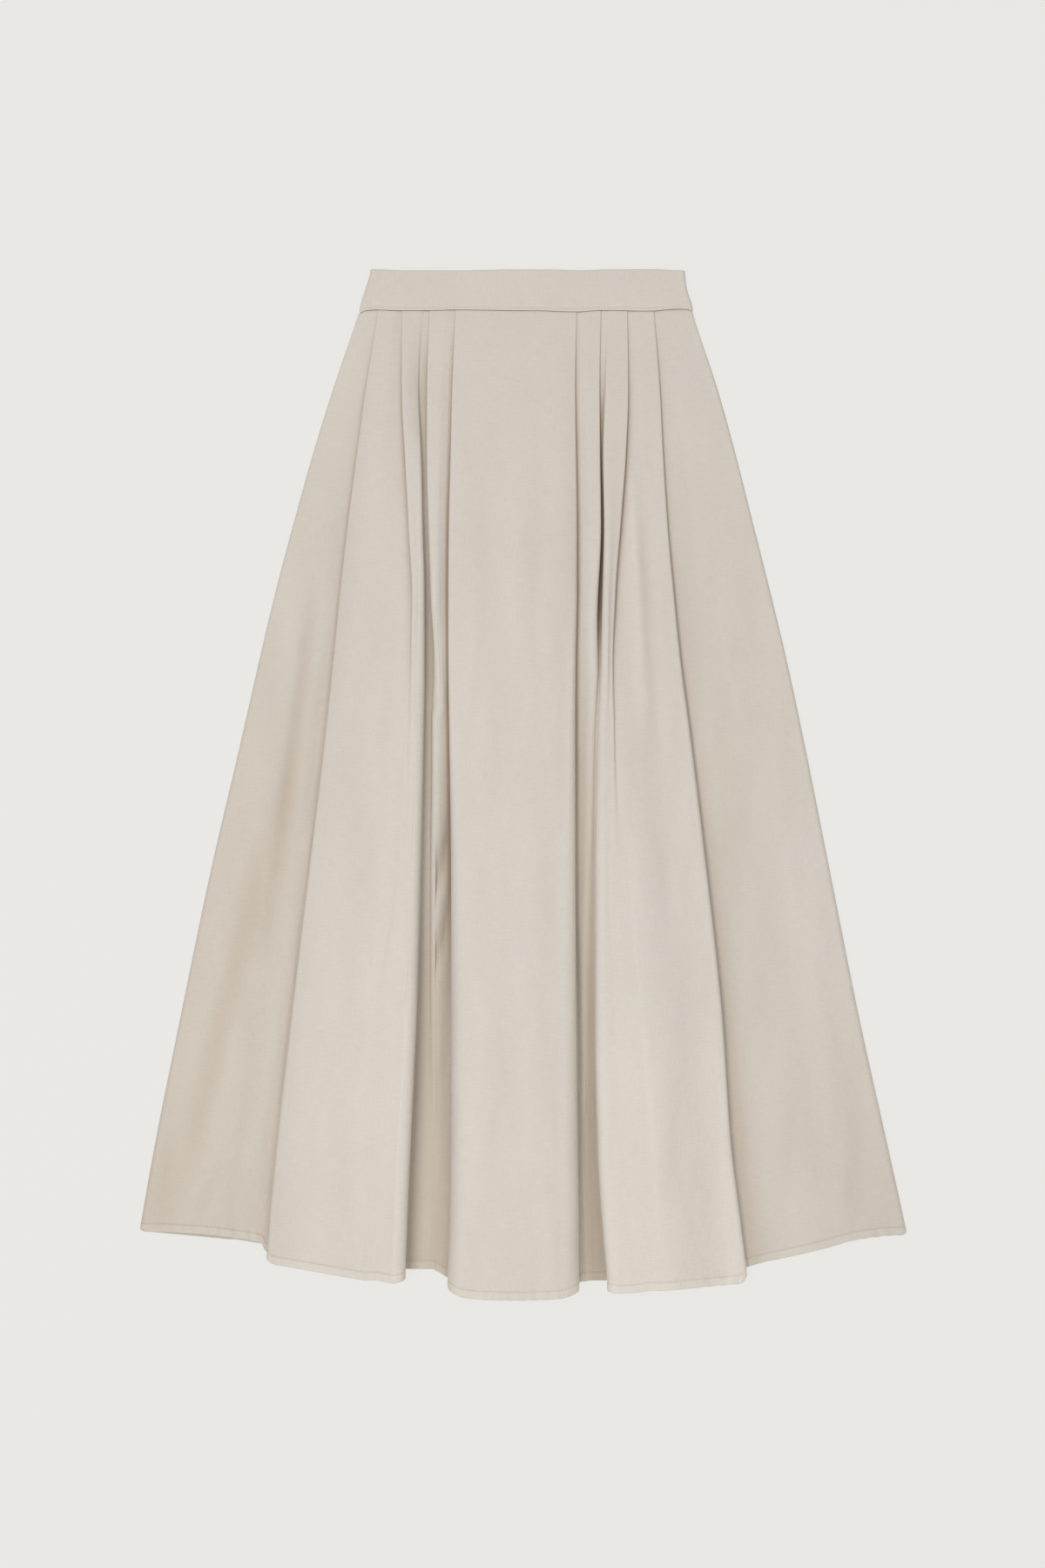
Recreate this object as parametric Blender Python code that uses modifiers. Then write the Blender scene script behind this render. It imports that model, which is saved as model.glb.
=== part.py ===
"""Pleated maxi skirt, laid flat with its front up.

The row frame has +Y towards the waist, +X to the right of someone looking down
on the front, and +Z up from the surface that the skirt lies on. The origin is
on that surface, at the middle of the skirt's box. Every size below is in
millimetres, and MM turns it into metres.

Each panel is one sheet of cloth. A section of it runs from the side seam
towards the centre, and is put together from level runs and turns of the cloth:
a pleat is two turns with a short run back between them, and the edge of a
hollow is two turns with a drop between them.
"""

import math

import bmesh
import bpy

MM = 0.001

CLOTH = 1.0
BAND_CLOTH = 2.6
SEAM_GAP = 0.3
TURN = 0.75  # radius of the middle of the cloth in a pressed fold
PLEAT_RISE = 4 * TURN  # from the lowest to the highest layer of a pressed pleat
WIDEST_STEP = 9.0  # width of the slope that is left where a pleat has opened out
SHORTEST = 0.3  # no straight piece of a section is shorter than this
PLEAT_CLEAR = 1.0  # cloth is level again this far before a pleat's edge
RAISED_SLOPE = 6.0  # least width of the raised fold's slope between its two pleats
HOLLOW_SLOPE = 5.0  # least width of the hollow's slope down to the middle panel's pleat
ROLL_SHARE = 0.88  # share of a side seam's height that its roll takes up

BAND_TOP_Y = 519.7
SEAM_Y = 477.0
LONGEST_DROP = 997.0  # from the waist seam to the hem at the centre front

BACK_LEVEL = CLOTH / 2
BACK_STACK = CLOTH + PLEAT_RISE
FRONT_LEVEL = BACK_STACK + SEAM_GAP + CLOTH / 2
SIDE_SEAM_Z = 2.2
BAND_SEAM_Z = 4.35
BAND_FRONT_Z = 7.4
BAND_TURN = 2.0
BAND_STEPS = 4  # from the top edge to the waist seam
BAND_COLUMNS = 12  # across the flat of a band half

ZIP_LENGTH = 205.0
ZIP_WIDTH = 7.0
ZIP_INSET = 7.5
ZIP_BELOW_TOP = 1.0
ZIP_STEPS = 12

COLOURS = {
    "cloth": (0.64, 0.59, 0.51),
    "zip_tape": (0.55, 0.50, 0.43),
}
CLOTH_ROUGHNESS = 0.85
TAPE_ROUGHNESS = 0.6


class Table:
    """Rows of numbers with named columns. The first column is what the others follow."""

    def __init__(self, columns, *rows):
        self.columns = {
            name: [row[place] for row in rows] for place, name in enumerate(columns.split())
        }
        self.first = self.columns[columns.split()[0]]

    def at(self, column, place):
        return smooth_between(self.first, self.columns[column], place)


def slope_at(places, values, index):
    """Slope of a smooth curve at one of its points, which never overshoots its neighbours."""
    if index in (0, len(places) - 1):
        return 0.0
    before = places[index] - places[index - 1]
    after = places[index + 1] - places[index]
    rise_before = (values[index] - values[index - 1]) / before
    rise_after = (values[index + 1] - values[index]) / after
    if rise_before * rise_after <= 0:
        return 0.0
    weight_before = 2 * after + before
    weight_after = after + 2 * before
    return (weight_before + weight_after) / (weight_before / rise_before + weight_after / rise_after)


def smooth_between(places, values, place):
    """Value of the smooth curve through the points, carried straight on beyond its ends."""
    last = len(places) - 1
    if place <= places[0]:
        slope = (values[1] - values[0]) / (places[1] - places[0])
        return values[0] + slope * (place - places[0])
    if place >= places[last]:
        slope = (values[last] - values[last - 1]) / (places[last] - places[last - 1])
        return values[last] + slope * (place - places[last])
    index = next(i for i in range(last) if places[i + 1] >= place)
    width = places[index + 1] - places[index]
    u = (place - places[index]) / width
    return (
        values[index] * (1 + 2 * u) * (1 - u) ** 2
        + slope_at(places, values, index) * width * u * (1 - u) ** 2
        + values[index + 1] * u * u * (3 - 2 * u)
        - slope_at(places, values, index + 1) * width * u * u * (1 - u)
    )


def ease(u):
    """From 0 to 1, level at both ends."""
    u = min(1.0, max(0.0, u))
    return u * u * (3 - 2 * u)


# How far each line of the front lies from the centre line, at a drop below the
# waist seam. The side is the outline. Pleats 1 to 4 are counted from the side
# to the middle panel, and the shoulder is the rim of the hollow by pleat 3.
LEFT_LINES = Table(
    "drop side pleat_1 pleat_2 shoulder pleat_3 pleat_4",
    (-25, 157.3, 142.4, 122.0, 99.8, 93.2, 66.4),
    (0, 166.0, 146.0, 122.0, 101.0, 94.0, 67.5),
    (75, 191.0, 158.0, 121.9, 105.0, 96.4, 70.8),
    (145, 212.5, 167.5, 119.2, 102.5, 96.8, 72.6),
    (215, 232.0, 176.4, 115.7, 101.0, 95.2, 74.4),
    (285, 250.5, 184.4, 113.0, 99.2, 92.8, 75.2),
    (355, 267.0, 191.4, 113.4, 99.0, 90.6, 75.2),
    (430, 284.0, 199.3, 114.5, 99.9, 88.5, 74.6),
    (570, 316.5, 216.0, 121.0, 102.5, 88.0, 73.2),
    (710, 345.5, 232.8, 132.0, 106.0, 90.0, 72.6),
    (850, 373.5, 248.6, 140.0, 112.5, 92.0, 72.6),
    (930, 387.5, 256.0, 144.0, 116.5, 94.0, 73.4),
    (990, 397.0, 259.5, 148.0, 118.4, 96.0, 75.2),
)
RIGHT_LINES = Table(
    "drop side pleat_1 pleat_2 shoulder pleat_3 pleat_4",
    (-25, 163.7, 130.9, 105.6, 86.8, 79.6, 55.1),
    (0, 171.8, 132.8, 106.0, 86.0, 79.2, 54.6),
    (75, 196.7, 138.6, 106.9, 83.5, 77.9, 53.2),
    (145, 216.0, 142.1, 104.3, 81.6, 78.4, 54.1),
    (215, 233.6, 146.5, 99.0, 82.6, 79.4, 55.0),
    (285, 251.2, 152.7, 93.7, 81.0, 77.8, 55.0),
    (355, 268.0, 159.7, 92.0, 79.2, 74.6, 53.6),
    (430, 284.0, 169.4, 92.8, 75.6, 69.0, 53.2),
    (570, 312.0, 186.1, 98.0, 73.5, 66.0, 53.2),
    (710, 340.0, 201.1, 108.0, 73.5, 66.0, 54.3),
    (850, 371.0, 210.8, 118.0, 76.1, 68.0, 55.9),
    (930, 388.5, 220.6, 124.0, 81.3, 70.0, 56.8),
    (990, 400.0, 226.6, 128.0, 85.8, 72.0, 56.8),
)

# Heights of the middle of the cloth above the surface. Each pleat lifts the
# cloth from its low to its high value, and the shoulder drops it from the crest
# to the front's lowest level. The last two columns are the turns, in degrees,
# of the two pleats that open out: 180 is a closed fold and 0 is level cloth.
LEFT_HEIGHTS = Table(
    "drop side swell high_1 low_2 high_2 crest high_3 low_4 centre turn_2 turn_3",
    (0, 4.8, 0.0, 7.8, 4.8, 7.8, 7.8, 7.8, 4.8, 7.8, 180, 180),
    (75, 4.9, 0.3, 7.9, 5.0, 8.2, 8.5, 7.8, 5.0, 8.2, 180, 180),
    (145, 5.1, 0.8, 8.2, 5.6, 9.2, 10.2, 8.2, 5.6, 9.6, 180, 180),
    (215, 5.4, 1.6, 8.6, 7.2, 11.0, 12.2, 8.8, 6.4, 11.4, 180, 180),
    (285, 5.8, 2.4, 9.0, 9.6, 13.2, 14.6, 9.4, 7.2, 13.6, 110, 180),
    (355, 6.2, 3.2, 9.6, 12.6, 15.8, 17.6, 9.6, 7.8, 16.6, 60, 120),
    (430, 6.6, 4.0, 10.2, 16.4, 19.0, 21.0, 9.0, 7.6, 20.0, 30, 70),
    (570, 7.2, 5.4, 11.6, 21.4, 23.0, 27.0, 6.6, 6.0, 26.6, 20, 25),
    (710, 7.8, 6.4, 12.8, 24.0, 25.6, 31.4, 5.0, 5.0, 31.4, 0, 0),
    (850, 8.4, 7.0, 14.0, 25.4, 27.0, 34.0, 4.8, 4.8, 34.4, 0, 0),
    (990, 8.8, 7.4, 15.0, 26.0, 27.6, 35.0, 4.8, 4.8, 36.0, 0, 0),
)
RIGHT_HEIGHTS = Table(
    "drop side swell high_1 low_2 high_2 crest high_3 low_4 centre turn_2 turn_3",
    (0, 4.8, 0.0, 7.8, 4.8, 7.8, 7.8, 7.8, 4.8, 7.8, 180, 180),
    (75, 4.9, 0.2, 8.0, 4.9, 8.0, 8.2, 7.8, 4.9, 8.2, 180, 180),
    (145, 5.1, 0.6, 8.6, 5.2, 9.2, 10.0, 8.1, 5.2, 9.6, 180, 180),
    (215, 5.4, 1.2, 9.4, 6.0, 11.2, 12.6, 8.6, 5.8, 11.4, 180, 180),
    (285, 5.8, 1.8, 10.4, 7.6, 13.4, 15.0, 9.0, 6.4, 13.6, 180, 150),
    (355, 6.2, 2.4, 11.4, 10.6, 16.0, 17.8, 9.0, 6.8, 16.6, 120, 90),
    (430, 6.6, 3.0, 12.6, 14.6, 19.2, 21.0, 8.4, 6.6, 20.0, 70, 60),
    (570, 7.2, 4.2, 14.6, 20.4, 24.0, 27.0, 6.4, 5.8, 26.6, 40, 30),
    (710, 7.8, 5.2, 16.2, 24.0, 26.8, 31.4, 5.0, 5.0, 31.4, 0, 0),
    (850, 8.4, 6.0, 17.4, 26.0, 28.2, 34.0, 4.8, 4.8, 34.4, 0, 0),
    (990, 8.8, 6.4, 18.0, 27.0, 29.0, 35.0, 4.8, 4.8, 36.0, 0, 0),
)

# How far each pleat reaches back under its visible edge, and the two radii of
# the shoulder.
DEPTHS = Table(
    "drop pleat_1 pleat_2 pleat_3 pleat_4 shoulder_top shoulder_foot",
    (0, 15.5, 12.5, 14.0, 15.5, 4.0, 4.0),
    (75, 18.0, 10.5, 12.0, 15.5, 2.6, 2.0),
    (145, 21.0, 9.0, 10.5, 16.0, 2.4, 1.7),
    (215, 24.0, 7.0, 8.0, 17.0, 3.4, 1.7),
    (285, 27.0, 4.0, 5.0, 18.0, 4.6, 1.7),
    (430, 34.0, 1.5, 1.5, 22.0, 7.5, 2.4),
    (710, 44.0, 1.5, 1.5, 30.0, 10.0, 3.6),
    (990, 50.0, 1.5, 1.5, 37.0, 11.0, 4.4),
)
OVERHANG = math.radians(100)  # the steepest that a shoulder drops

# Drop of the hem, from the waist seam, at the parts of each half.
LEFT_HEM = {
    "side": 927.0,
    "under_1": 949.0,
    "over_1": 960.0,
    "crest": 975.0,
    "well": 967.0,
    "under_4": 974.0,
    "over_4": 985.0,
}
RIGHT_HEM = {
    "side": 932.0,
    "under_1": 963.0,
    "over_1": 978.0,
    "crest": 987.0,
    "well": 980.0,
    "under_4": 981.0,
    "over_4": 989.0,
}

MIDDLE_STEPS = 6  # across the flat middle panel
FRONT_ROWS = (0, 22, 48, 75, 105, 140, 178, 215, 255, 300, 350, 405, 470, 550, 650, 760, 870, 950, 997)

# The four pleats of each half of the back, all closed: how far their edges lie
# from the centre line at the waist seam and at the hem, and their depths there.
BACK_PLEATS = Table(
    "number waist hem waist_depth hem_depth",
    (1, 143.0, 292.0, 14.0, 36.0),
    (2, 116.0, 214.0, 14.0, 32.0),
    (3, 89.0, 146.0, 13.0, 30.0),
    (4, 62.0, 84.0, 13.0, 28.0),
)
BACK_BEND = 0.35  # how much faster the back's lines spread near the waist
BACK_HEM = Table(
    "distance drop",
    (0, 968.0),
    (115, 962.0),
    (260, 943.0),
    (390, 925.0),
)
BACK_ROWS = (0, 22, 75, 140, 215, 300, 405, 550, 760, 997)
BACK_RAMP = 7.0  # width over which the back's cloth climbs on to the next pleat

# How far the waistband's ends lie from the centre line, below its top edge.
BAND_ENDS = Table(
    "down left right",
    (0, 152.9, 163.5),
    (20, 158.2, 165.6),
    (42.7, 164.3, 171.6),
)


class Section:
    """One section of the cloth, from the side seam towards the centre line.

    A point is (across, height, hem), where across grows towards the centre line
    and hem is the drop of the hem below that point.
    """

    def __init__(self, across, height, hem):
        self.points = [(across, height, hem)]

    def to(self, across, height, hem):
        self.points.append((across, height, hem))

    def run(self, across, height, hem, steps, swell=0.0):
        """Cloth that leaves level and arrives level, with an optional swell between."""
        from_across, from_height, from_hem = self.points[-1]
        for step in range(1, steps + 1):
            u = step / steps
            self.to(
                from_across + (across - from_across) * u,
                from_height + (height - from_height) * ease(u) + swell * math.sin(math.pi * u) ** 2,
                from_hem + (hem - from_hem) * u,
            )

    def turn(self, radius, start, end, hem, steps):
        """Arc from one heading to another, in radians. Heading 0 points to the centre line."""
        across, height, from_hem = self.points[-1]
        way = 1 if end > start else -1
        for step in range(1, steps + 1):
            heading = start + (end - start) * step / steps
            self.to(
                across + way * radius * (math.sin(heading) - math.sin(start)),
                height - way * radius * (math.cos(heading) - math.cos(start)),
                from_hem + (hem - from_hem) * step / steps,
            )


def pleat_radii(low, high, angle):
    """The turn that a pleat can make, and its inner and outer radii, for its rise."""
    rise = max(high - low, 0.001)
    tightest = 2 * TURN
    if rise < 2 * tightest:
        angle = min(angle, math.acos(1 - rise / tightest))
    angle = max(angle, 2 * math.atan(rise / WIDEST_STEP))
    both = rise / (1 - math.cos(angle))
    inner = min(both / 2, TURN) if angle > math.pi / 2 else both / 2
    return angle, inner, both - inner


def pleat_start(edge, depth, low, high, angle):
    """Where the cloth starts to turn into a pleat whose visible edge is at this distance."""
    angle, inner, outer = pleat_radii(low, high, angle)
    back = max(SHORTEST, (depth - inner - outer) * max(0.0, -math.cos(angle)))
    middle = -edge + outer * max(0.0, -math.cos(angle)) + back / 2
    return middle - inner * math.sin(angle) - back / 2 * math.cos(angle), back


def approach(edge, depth, low, high, turn):
    """Where the cloth is level again on its way to a pleat."""
    start, _ = pleat_start(edge, depth, low, high, math.radians(turn))
    return min(-edge - 1.0, start - 0.3)


def pleat(section, edge, depth, low, high, turn, hem, inner_steps, outer_steps):
    """A pleat: the cloth turns back on itself, runs out to its edge and turns again."""
    wanted = math.radians(turn)
    start, back = pleat_start(edge, depth, low, high, wanted)
    angle, inner, outer = pleat_radii(low, high, wanted)
    section.to(start, low, section.points[-1][2])
    section.turn(inner, 0.0, angle, section.points[-1][2], inner_steps)
    across, height, from_hem = section.points[-1]
    section.to(across + back * math.cos(angle), height + back * math.sin(angle), from_hem)
    section.turn(outer, angle, 0.0, hem, outer_steps)


def shoulder(section, edge, crest, floor, top_radius, foot_radius, hem):
    """The rim of a hollow: the cloth turns down, drops, and turns level again."""
    drop = crest - floor
    both = top_radius + foot_radius
    angle = OVERHANG
    if both * (1 - math.cos(angle)) > drop - SHORTEST:
        angle = math.acos(1 - (drop - SHORTEST) / both)
    fall = max(SHORTEST, (drop - both * (1 - math.cos(angle))) / math.sin(angle))
    start = -edge - top_radius * math.sin(min(angle, math.pi / 2))
    section.run(start, crest, section.points[-1][2], 3)
    section.turn(top_radius, 0.0, -angle, section.points[-1][2], 4)
    across, height, from_hem = section.points[-1]
    section.to(across + fall * math.cos(angle), height - fall * math.sin(angle), from_hem)
    section.turn(foot_radius, -angle, 0.0, hem, 2)


def side_stretch(section, share, lines, heights, hem):
    """The side panel, and the pleat under the raised fold's outer edge.

    Returns where the cloth lies free of that pleat, and its height there.
    """
    over = share * hem["over_1"]
    edge = lines.at("pleat_1", over)
    depth = DEPTHS.at("pleat_1", over)
    high = heights.at("high_1", over)
    swell = heights.at("swell", share * hem["side"])
    section.run(-edge - PLEAT_CLEAR, FRONT_LEVEL, hem["under_1"], 5, swell)
    pleat(section, edge, depth, FRONT_LEVEL, high, 180, hem["over_1"], 3, 4)
    return -edge + depth, high


def raised_stretch(section, share, lines, heights, hem, clear, high):
    """The raised fold, from its outer edge over its second pleat to the hollow's rim."""
    over = share * hem["over_1"]
    edge = lines.at("pleat_2", over)
    depth = DEPTHS.at("pleat_2", over)
    low = heights.at("low_2", over)
    top = heights.at("high_2", over)
    turn = heights.at("turn_2", over)
    level = approach(edge, depth, low, top, turn)
    middle_hem = (hem["over_1"] + hem["crest"]) / 2
    section.run(min(clear, level - RAISED_SLOPE), high, hem["over_1"], 1)
    section.run(level, low, middle_hem, 4)
    pleat(section, edge, depth, low, top, turn, middle_hem, 3, 3)

    drop = share * hem["crest"]
    shoulder(
        section,
        lines.at("shoulder", drop),
        heights.at("crest", drop),
        FRONT_LEVEL,
        DEPTHS.at("shoulder_top", drop),
        DEPTHS.at("shoulder_foot", drop),
        hem["well"],
    )


def hollow_stretch(section, share, lines, heights, hem):
    """The hollow's floor with its pleat, and the pleat up to the middle panel."""
    drop = share * hem["well"]
    edge = lines.at("pleat_3", drop)
    depth = DEPTHS.at("pleat_3", drop)
    high = heights.at("high_3", drop)
    pleat(section, edge, depth, FRONT_LEVEL, high, heights.at("turn_3", drop), hem["well"], 3, 3)
    clear = max(-edge + depth, section.points[-1][0] + 1.0)

    over = share * hem["over_4"]
    edge = lines.at("pleat_4", over)
    depth = DEPTHS.at("pleat_4", over)
    low = heights.at("low_4", over)
    centre = heights.at("centre", over)
    level = approach(edge, depth, low, centre, 180)
    section.run(min(clear, level - HOLLOW_SLOPE), high, hem["well"], 1)
    section.run(level, low, hem["under_4"], 3)
    pleat(section, edge, depth, low, centre, 180, hem["over_4"], 3, 7)


def front_half(share, lines, heights, hem):
    """Section of one half of the front, at a share of the way from the waist seam to the hem."""
    drop = share * hem["side"]
    side = lines.at("side", drop)
    side_height = heights.at("side", drop)
    roll = ROLL_SHARE * (side_height - SIDE_SEAM_Z - SEAM_GAP)
    section = Section(-side, SIDE_SEAM_Z + SEAM_GAP / 2, hem["side"])
    section.to(-side, side_height - roll, hem["side"])
    section.turn(roll, math.pi / 2, 0.0, hem["side"], 3)
    clear, high = side_stretch(section, share, lines, heights, hem)
    raised_stretch(section, share, lines, heights, hem, clear, high)
    hollow_stretch(section, share, lines, heights, hem)
    return section.points


def back_half(share, lines, hem_side):
    """Section of one half of the back. Its outer face lies level on the surface."""
    side = lines.at("side", share * hem_side)
    roll = ROLL_SHARE * (SIDE_SEAM_Z - SEAM_GAP / 2 - BACK_LEVEL)
    section = Section(-side, SIDE_SEAM_Z - SEAM_GAP / 2, hem_side)
    section.to(-side, BACK_LEVEL + roll, hem_side)
    section.turn(roll, -math.pi / 2, 0.0, hem_side, 3)
    for number in BACK_PLEATS.first:
        waist = BACK_PLEATS.at("waist", number)
        edge = waist + (BACK_PLEATS.at("hem", number) - waist) * bend_out(share)
        waist_depth = BACK_PLEATS.at("waist_depth", number)
        depth = waist_depth + (BACK_PLEATS.at("hem_depth", number) - waist_depth) * share
        hem = BACK_HEM.at("drop", edge)
        section.run(-edge - BACK_RAMP, BACK_LEVEL, hem, 1)
        section.run(-edge - PLEAT_CLEAR, BACK_LEVEL + PLEAT_RISE, hem, 2)
        section.to(-edge + depth - TURN, BACK_LEVEL + PLEAT_RISE, hem)
        section.turn(TURN, 0.0, -math.pi, hem, 3)
        section.to(-edge + TURN, BACK_LEVEL + PLEAT_RISE / 2, hem)
        section.turn(TURN, -math.pi, 0.0, hem, 3)
    return section.points


def bend_out(share):
    """The lines of the back spread faster near the waist, as the outline does."""
    return share + BACK_BEND * share * (1 - share)


def whole_section(left, right, centre_point):
    """The left half from its side seam, the centre, and the right half back to its side seam."""
    row = [(across, height, hem) for across, height, hem in left]
    row += centre_point
    row += [(-across, height, hem) for across, height, hem in reversed(right)]
    return row


def placed(row, share):
    """Points of a section as (x, y, z), in metres."""
    return [
        (x * MM, (SEAM_Y - SEAM_GAP * (1 - share) - share * hem) * MM, z * MM)
        for x, z, hem in row
    ]


def sheet(name, rows, thickness, colour, roughness):
    """A wall of cloth lofted through rows of points that all hold the same count."""
    mesh = bpy.data.meshes.new(name)
    shape = bmesh.new()
    grid = [[shape.verts.new(spot) for spot in row] for row in rows]
    for upper, lower in zip(grid, grid[1:]):
        for place in range(len(upper) - 1):
            shape.faces.new((lower[place], lower[place + 1], upper[place + 1], upper[place]))
    shape.to_mesh(mesh)
    shape.free()
    mesh.shade_smooth()
    cloth = bpy.data.objects.new(name, mesh)
    wall = cloth.modifiers.new("wall", "SOLIDIFY")
    wall.thickness = thickness * MM
    wall.offset = 0.0
    wall.use_even_offset = True
    mesh.materials.append(material(name, colour, roughness))
    SKIRT.objects.link(cloth)
    return cloth


def material(name, colour, roughness):
    made = bpy.data.materials.new(name)
    made.use_nodes = True
    shader = made.node_tree.nodes["Principled BSDF"]
    shader.inputs["Base Color"].default_value = (*colour, 1.0)
    shader.inputs["Roughness"].default_value = roughness
    shader.inputs["Metallic"].default_value = 0.0
    return made


def front_panel():
    """The pleated front: one sheet from side seam to side seam."""
    rows = []
    for drop in FRONT_ROWS:
        share = drop / LONGEST_DROP
        left = front_half(share, LEFT_LINES, LEFT_HEIGHTS, LEFT_HEM)
        right = front_half(share, RIGHT_LINES, RIGHT_HEIGHTS, RIGHT_HEM)
        first, last = left[-1], (-right[-1][0], right[-1][1], right[-1][2])
        across_centre = []
        for step in range(1, MIDDLE_STEPS):
            u = step / MIDDLE_STEPS
            across, height, hem = (start + (end - start) * u for start, end in zip(first, last))
            dip = (LONGEST_DROP - (first[2] + last[2]) / 2) * 4 * u * (1 - u)
            across_centre.append((across, height, hem + dip))
        rows.append(placed(whole_section(left, right, across_centre), share))
    return sheet("front_panel", rows, CLOTH, COLOURS["cloth"], CLOTH_ROUGHNESS)


def back_panel():
    """The pleated back, whose outer face lies on the surface."""
    rows = []
    for drop in BACK_ROWS:
        share = drop / LONGEST_DROP
        left = back_half(share, LEFT_LINES, LEFT_HEM["side"])
        right = back_half(share, RIGHT_LINES, RIGHT_HEM["side"])
        rows.append(placed(whole_section(left, right, []), share))
    return sheet("back_panel", rows, CLOTH, COLOURS["cloth"], CLOTH_ROUGHNESS)


def band_half(end, side_end, level, turn_from):
    """Section of one half of a waistband piece, from its end to the flat."""
    half = Section(-end, side_end, 0.0)
    half.to(-end, level - turn_from * BAND_TURN, 0.0)
    half.turn(BAND_TURN, turn_from * math.pi / 2, 0.0, 0.0, 3)
    return half.points


def band_rows(side_end, level, turn_from):
    """Rows of a waistband piece, from its top edge to the waist seam."""
    rows = []
    for step in range(BAND_STEPS + 1):
        down = (BAND_TOP_Y - SEAM_Y) * step / BAND_STEPS
        left = band_half(BAND_ENDS.at("left", down), side_end, level, turn_from)
        right = band_half(BAND_ENDS.at("right", down), side_end, level, turn_from)
        start, end = left[-1][0], -right[-1][0]
        flat = [
            (start + (end - start) * column / BAND_COLUMNS, level, 0.0)
            for column in range(1, BAND_COLUMNS)
        ]
        y = BAND_TOP_Y - down
        rows.append([(x * MM, y * MM, z * MM) for x, z, _ in whole_section(left, right, flat)])
    return rows


def waistband_front():
    rows = band_rows(BAND_SEAM_Z + SEAM_GAP / 2, BAND_FRONT_Z, 1)
    return sheet("waistband_front", rows, BAND_CLOTH, COLOURS["cloth"], CLOTH_ROUGHNESS)


def waistband_back():
    rows = band_rows(BAND_SEAM_Z - SEAM_GAP / 2, BAND_CLOTH / 2, -1)
    return sheet("waistband_back", rows, BAND_CLOTH, COLOURS["cloth"], CLOTH_ROUGHNESS)


def side_zip():
    """Closed zip inside the right side seam, from the band's top edge down."""
    rows = []
    for step in range(ZIP_STEPS + 1):
        down = ZIP_BELOW_TOP + ZIP_LENGTH * step / ZIP_STEPS
        drop = SEAM_Y - BAND_TOP_Y + down
        side = BAND_ENDS.at("right", down) if drop < 0 else RIGHT_LINES.at("side", drop)
        under_front = RIGHT_HEIGHTS.at("side", max(drop, 0)) - CLOTH - SEAM_GAP
        middle = side - ZIP_INSET
        rows.append(
            [
                ((middle + ZIP_WIDTH * u) * MM, (SEAM_Y - drop) * MM, under_front * MM)
                for u in (-0.5, -0.2, 0.2, 0.5)
            ]
        )
    return sheet("side_zip", rows, CLOTH, COLOURS["zip_tape"], TAPE_ROUGHNESS)


def new_collection(name):
    """Empties the scene and returns a collection for the garment."""
    for obj in list(bpy.data.objects):
        bpy.data.objects.remove(obj)
    made = bpy.data.collections.new(name)
    bpy.context.scene.collection.children.link(made)
    return made


SKIRT = new_collection("pleated_skirt")
front_panel()
back_panel()
waistband_front()
waistband_back()
side_zip()
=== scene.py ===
"""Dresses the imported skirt: cloth, waistband, hem, stitches and zip, with a pale stage.

Lengths in this file are in millimetres, as in the skirt's construction, and MM
turns them into metres. +Y points to the waist, +X to the right of someone who
looks down on the front, and +Z up from the surface that the skirt lies on.
"""

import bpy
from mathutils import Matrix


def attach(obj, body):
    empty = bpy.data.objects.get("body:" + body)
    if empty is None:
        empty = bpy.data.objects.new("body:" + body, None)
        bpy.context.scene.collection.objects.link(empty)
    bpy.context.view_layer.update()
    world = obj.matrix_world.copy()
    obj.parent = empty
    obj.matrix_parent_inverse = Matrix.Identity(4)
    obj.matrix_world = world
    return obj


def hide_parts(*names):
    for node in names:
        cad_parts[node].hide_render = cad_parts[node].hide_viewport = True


bl_info = {
    "name": "Pleated Skirt Dresser",
    "version": (1, 0, 0),
    "blender": (4, 5, 0),
    "location": "View3D > Sidebar > Skirt",
    "description": "Dresses a pleated skirt that lies flat with cloth, a waistband, hems and stitches",
    "category": "Object",
}

import math
from collections import namedtuple

import bpy
import numpy as np
from bpy.props import FloatProperty, FloatVectorProperty, PointerProperty

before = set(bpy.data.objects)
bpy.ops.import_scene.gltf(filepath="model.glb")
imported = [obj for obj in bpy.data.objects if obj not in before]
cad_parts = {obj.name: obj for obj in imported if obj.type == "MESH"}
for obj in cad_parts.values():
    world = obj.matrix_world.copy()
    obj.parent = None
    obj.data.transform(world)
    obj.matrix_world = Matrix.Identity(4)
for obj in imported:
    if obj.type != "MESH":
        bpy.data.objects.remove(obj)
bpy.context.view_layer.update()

MM = 0.001

CLOTH = 1.0
SEAM_GAP = 0.3
TURN = 0.75
PLEAT_RISE = 4 * TURN
SHORTEST = 0.3
PLEAT_CLEAR = 1.0
RAISED_SLOPE = 6.0
BAND_TOP_Y = 519.7
SEAM_Y = 477.0
LONGEST_DROP = 997.0
BACK_LEVEL = CLOTH / 2
BACK_STACK = CLOTH + PLEAT_RISE
FRONT_LEVEL = BACK_STACK + SEAM_GAP + CLOTH / 2
SIDE_SEAM_Z = 2.2
BAND_SEAM_Z = 4.35
BAND_FRONT_Z = 6.5
BAND_BACK_Z = 1.3
BAND_TURN = 2.0
OVERHANG = math.radians(100)

# Tone of the cloth's inner face against its outer face.
INSIDE_TONE = 0.92


class Table:
    """Rows of numbers with named columns. The first column is what the others follow."""

    def __init__(self, columns, *rows):
        self.rows = rows
        self.columns = dict(zip(columns.split(), zip(*rows)))
        self.first = [row[0] for row in rows]

    def at(self, column, place):
        return smooth_between(self.first, self.columns[column], place)


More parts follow.
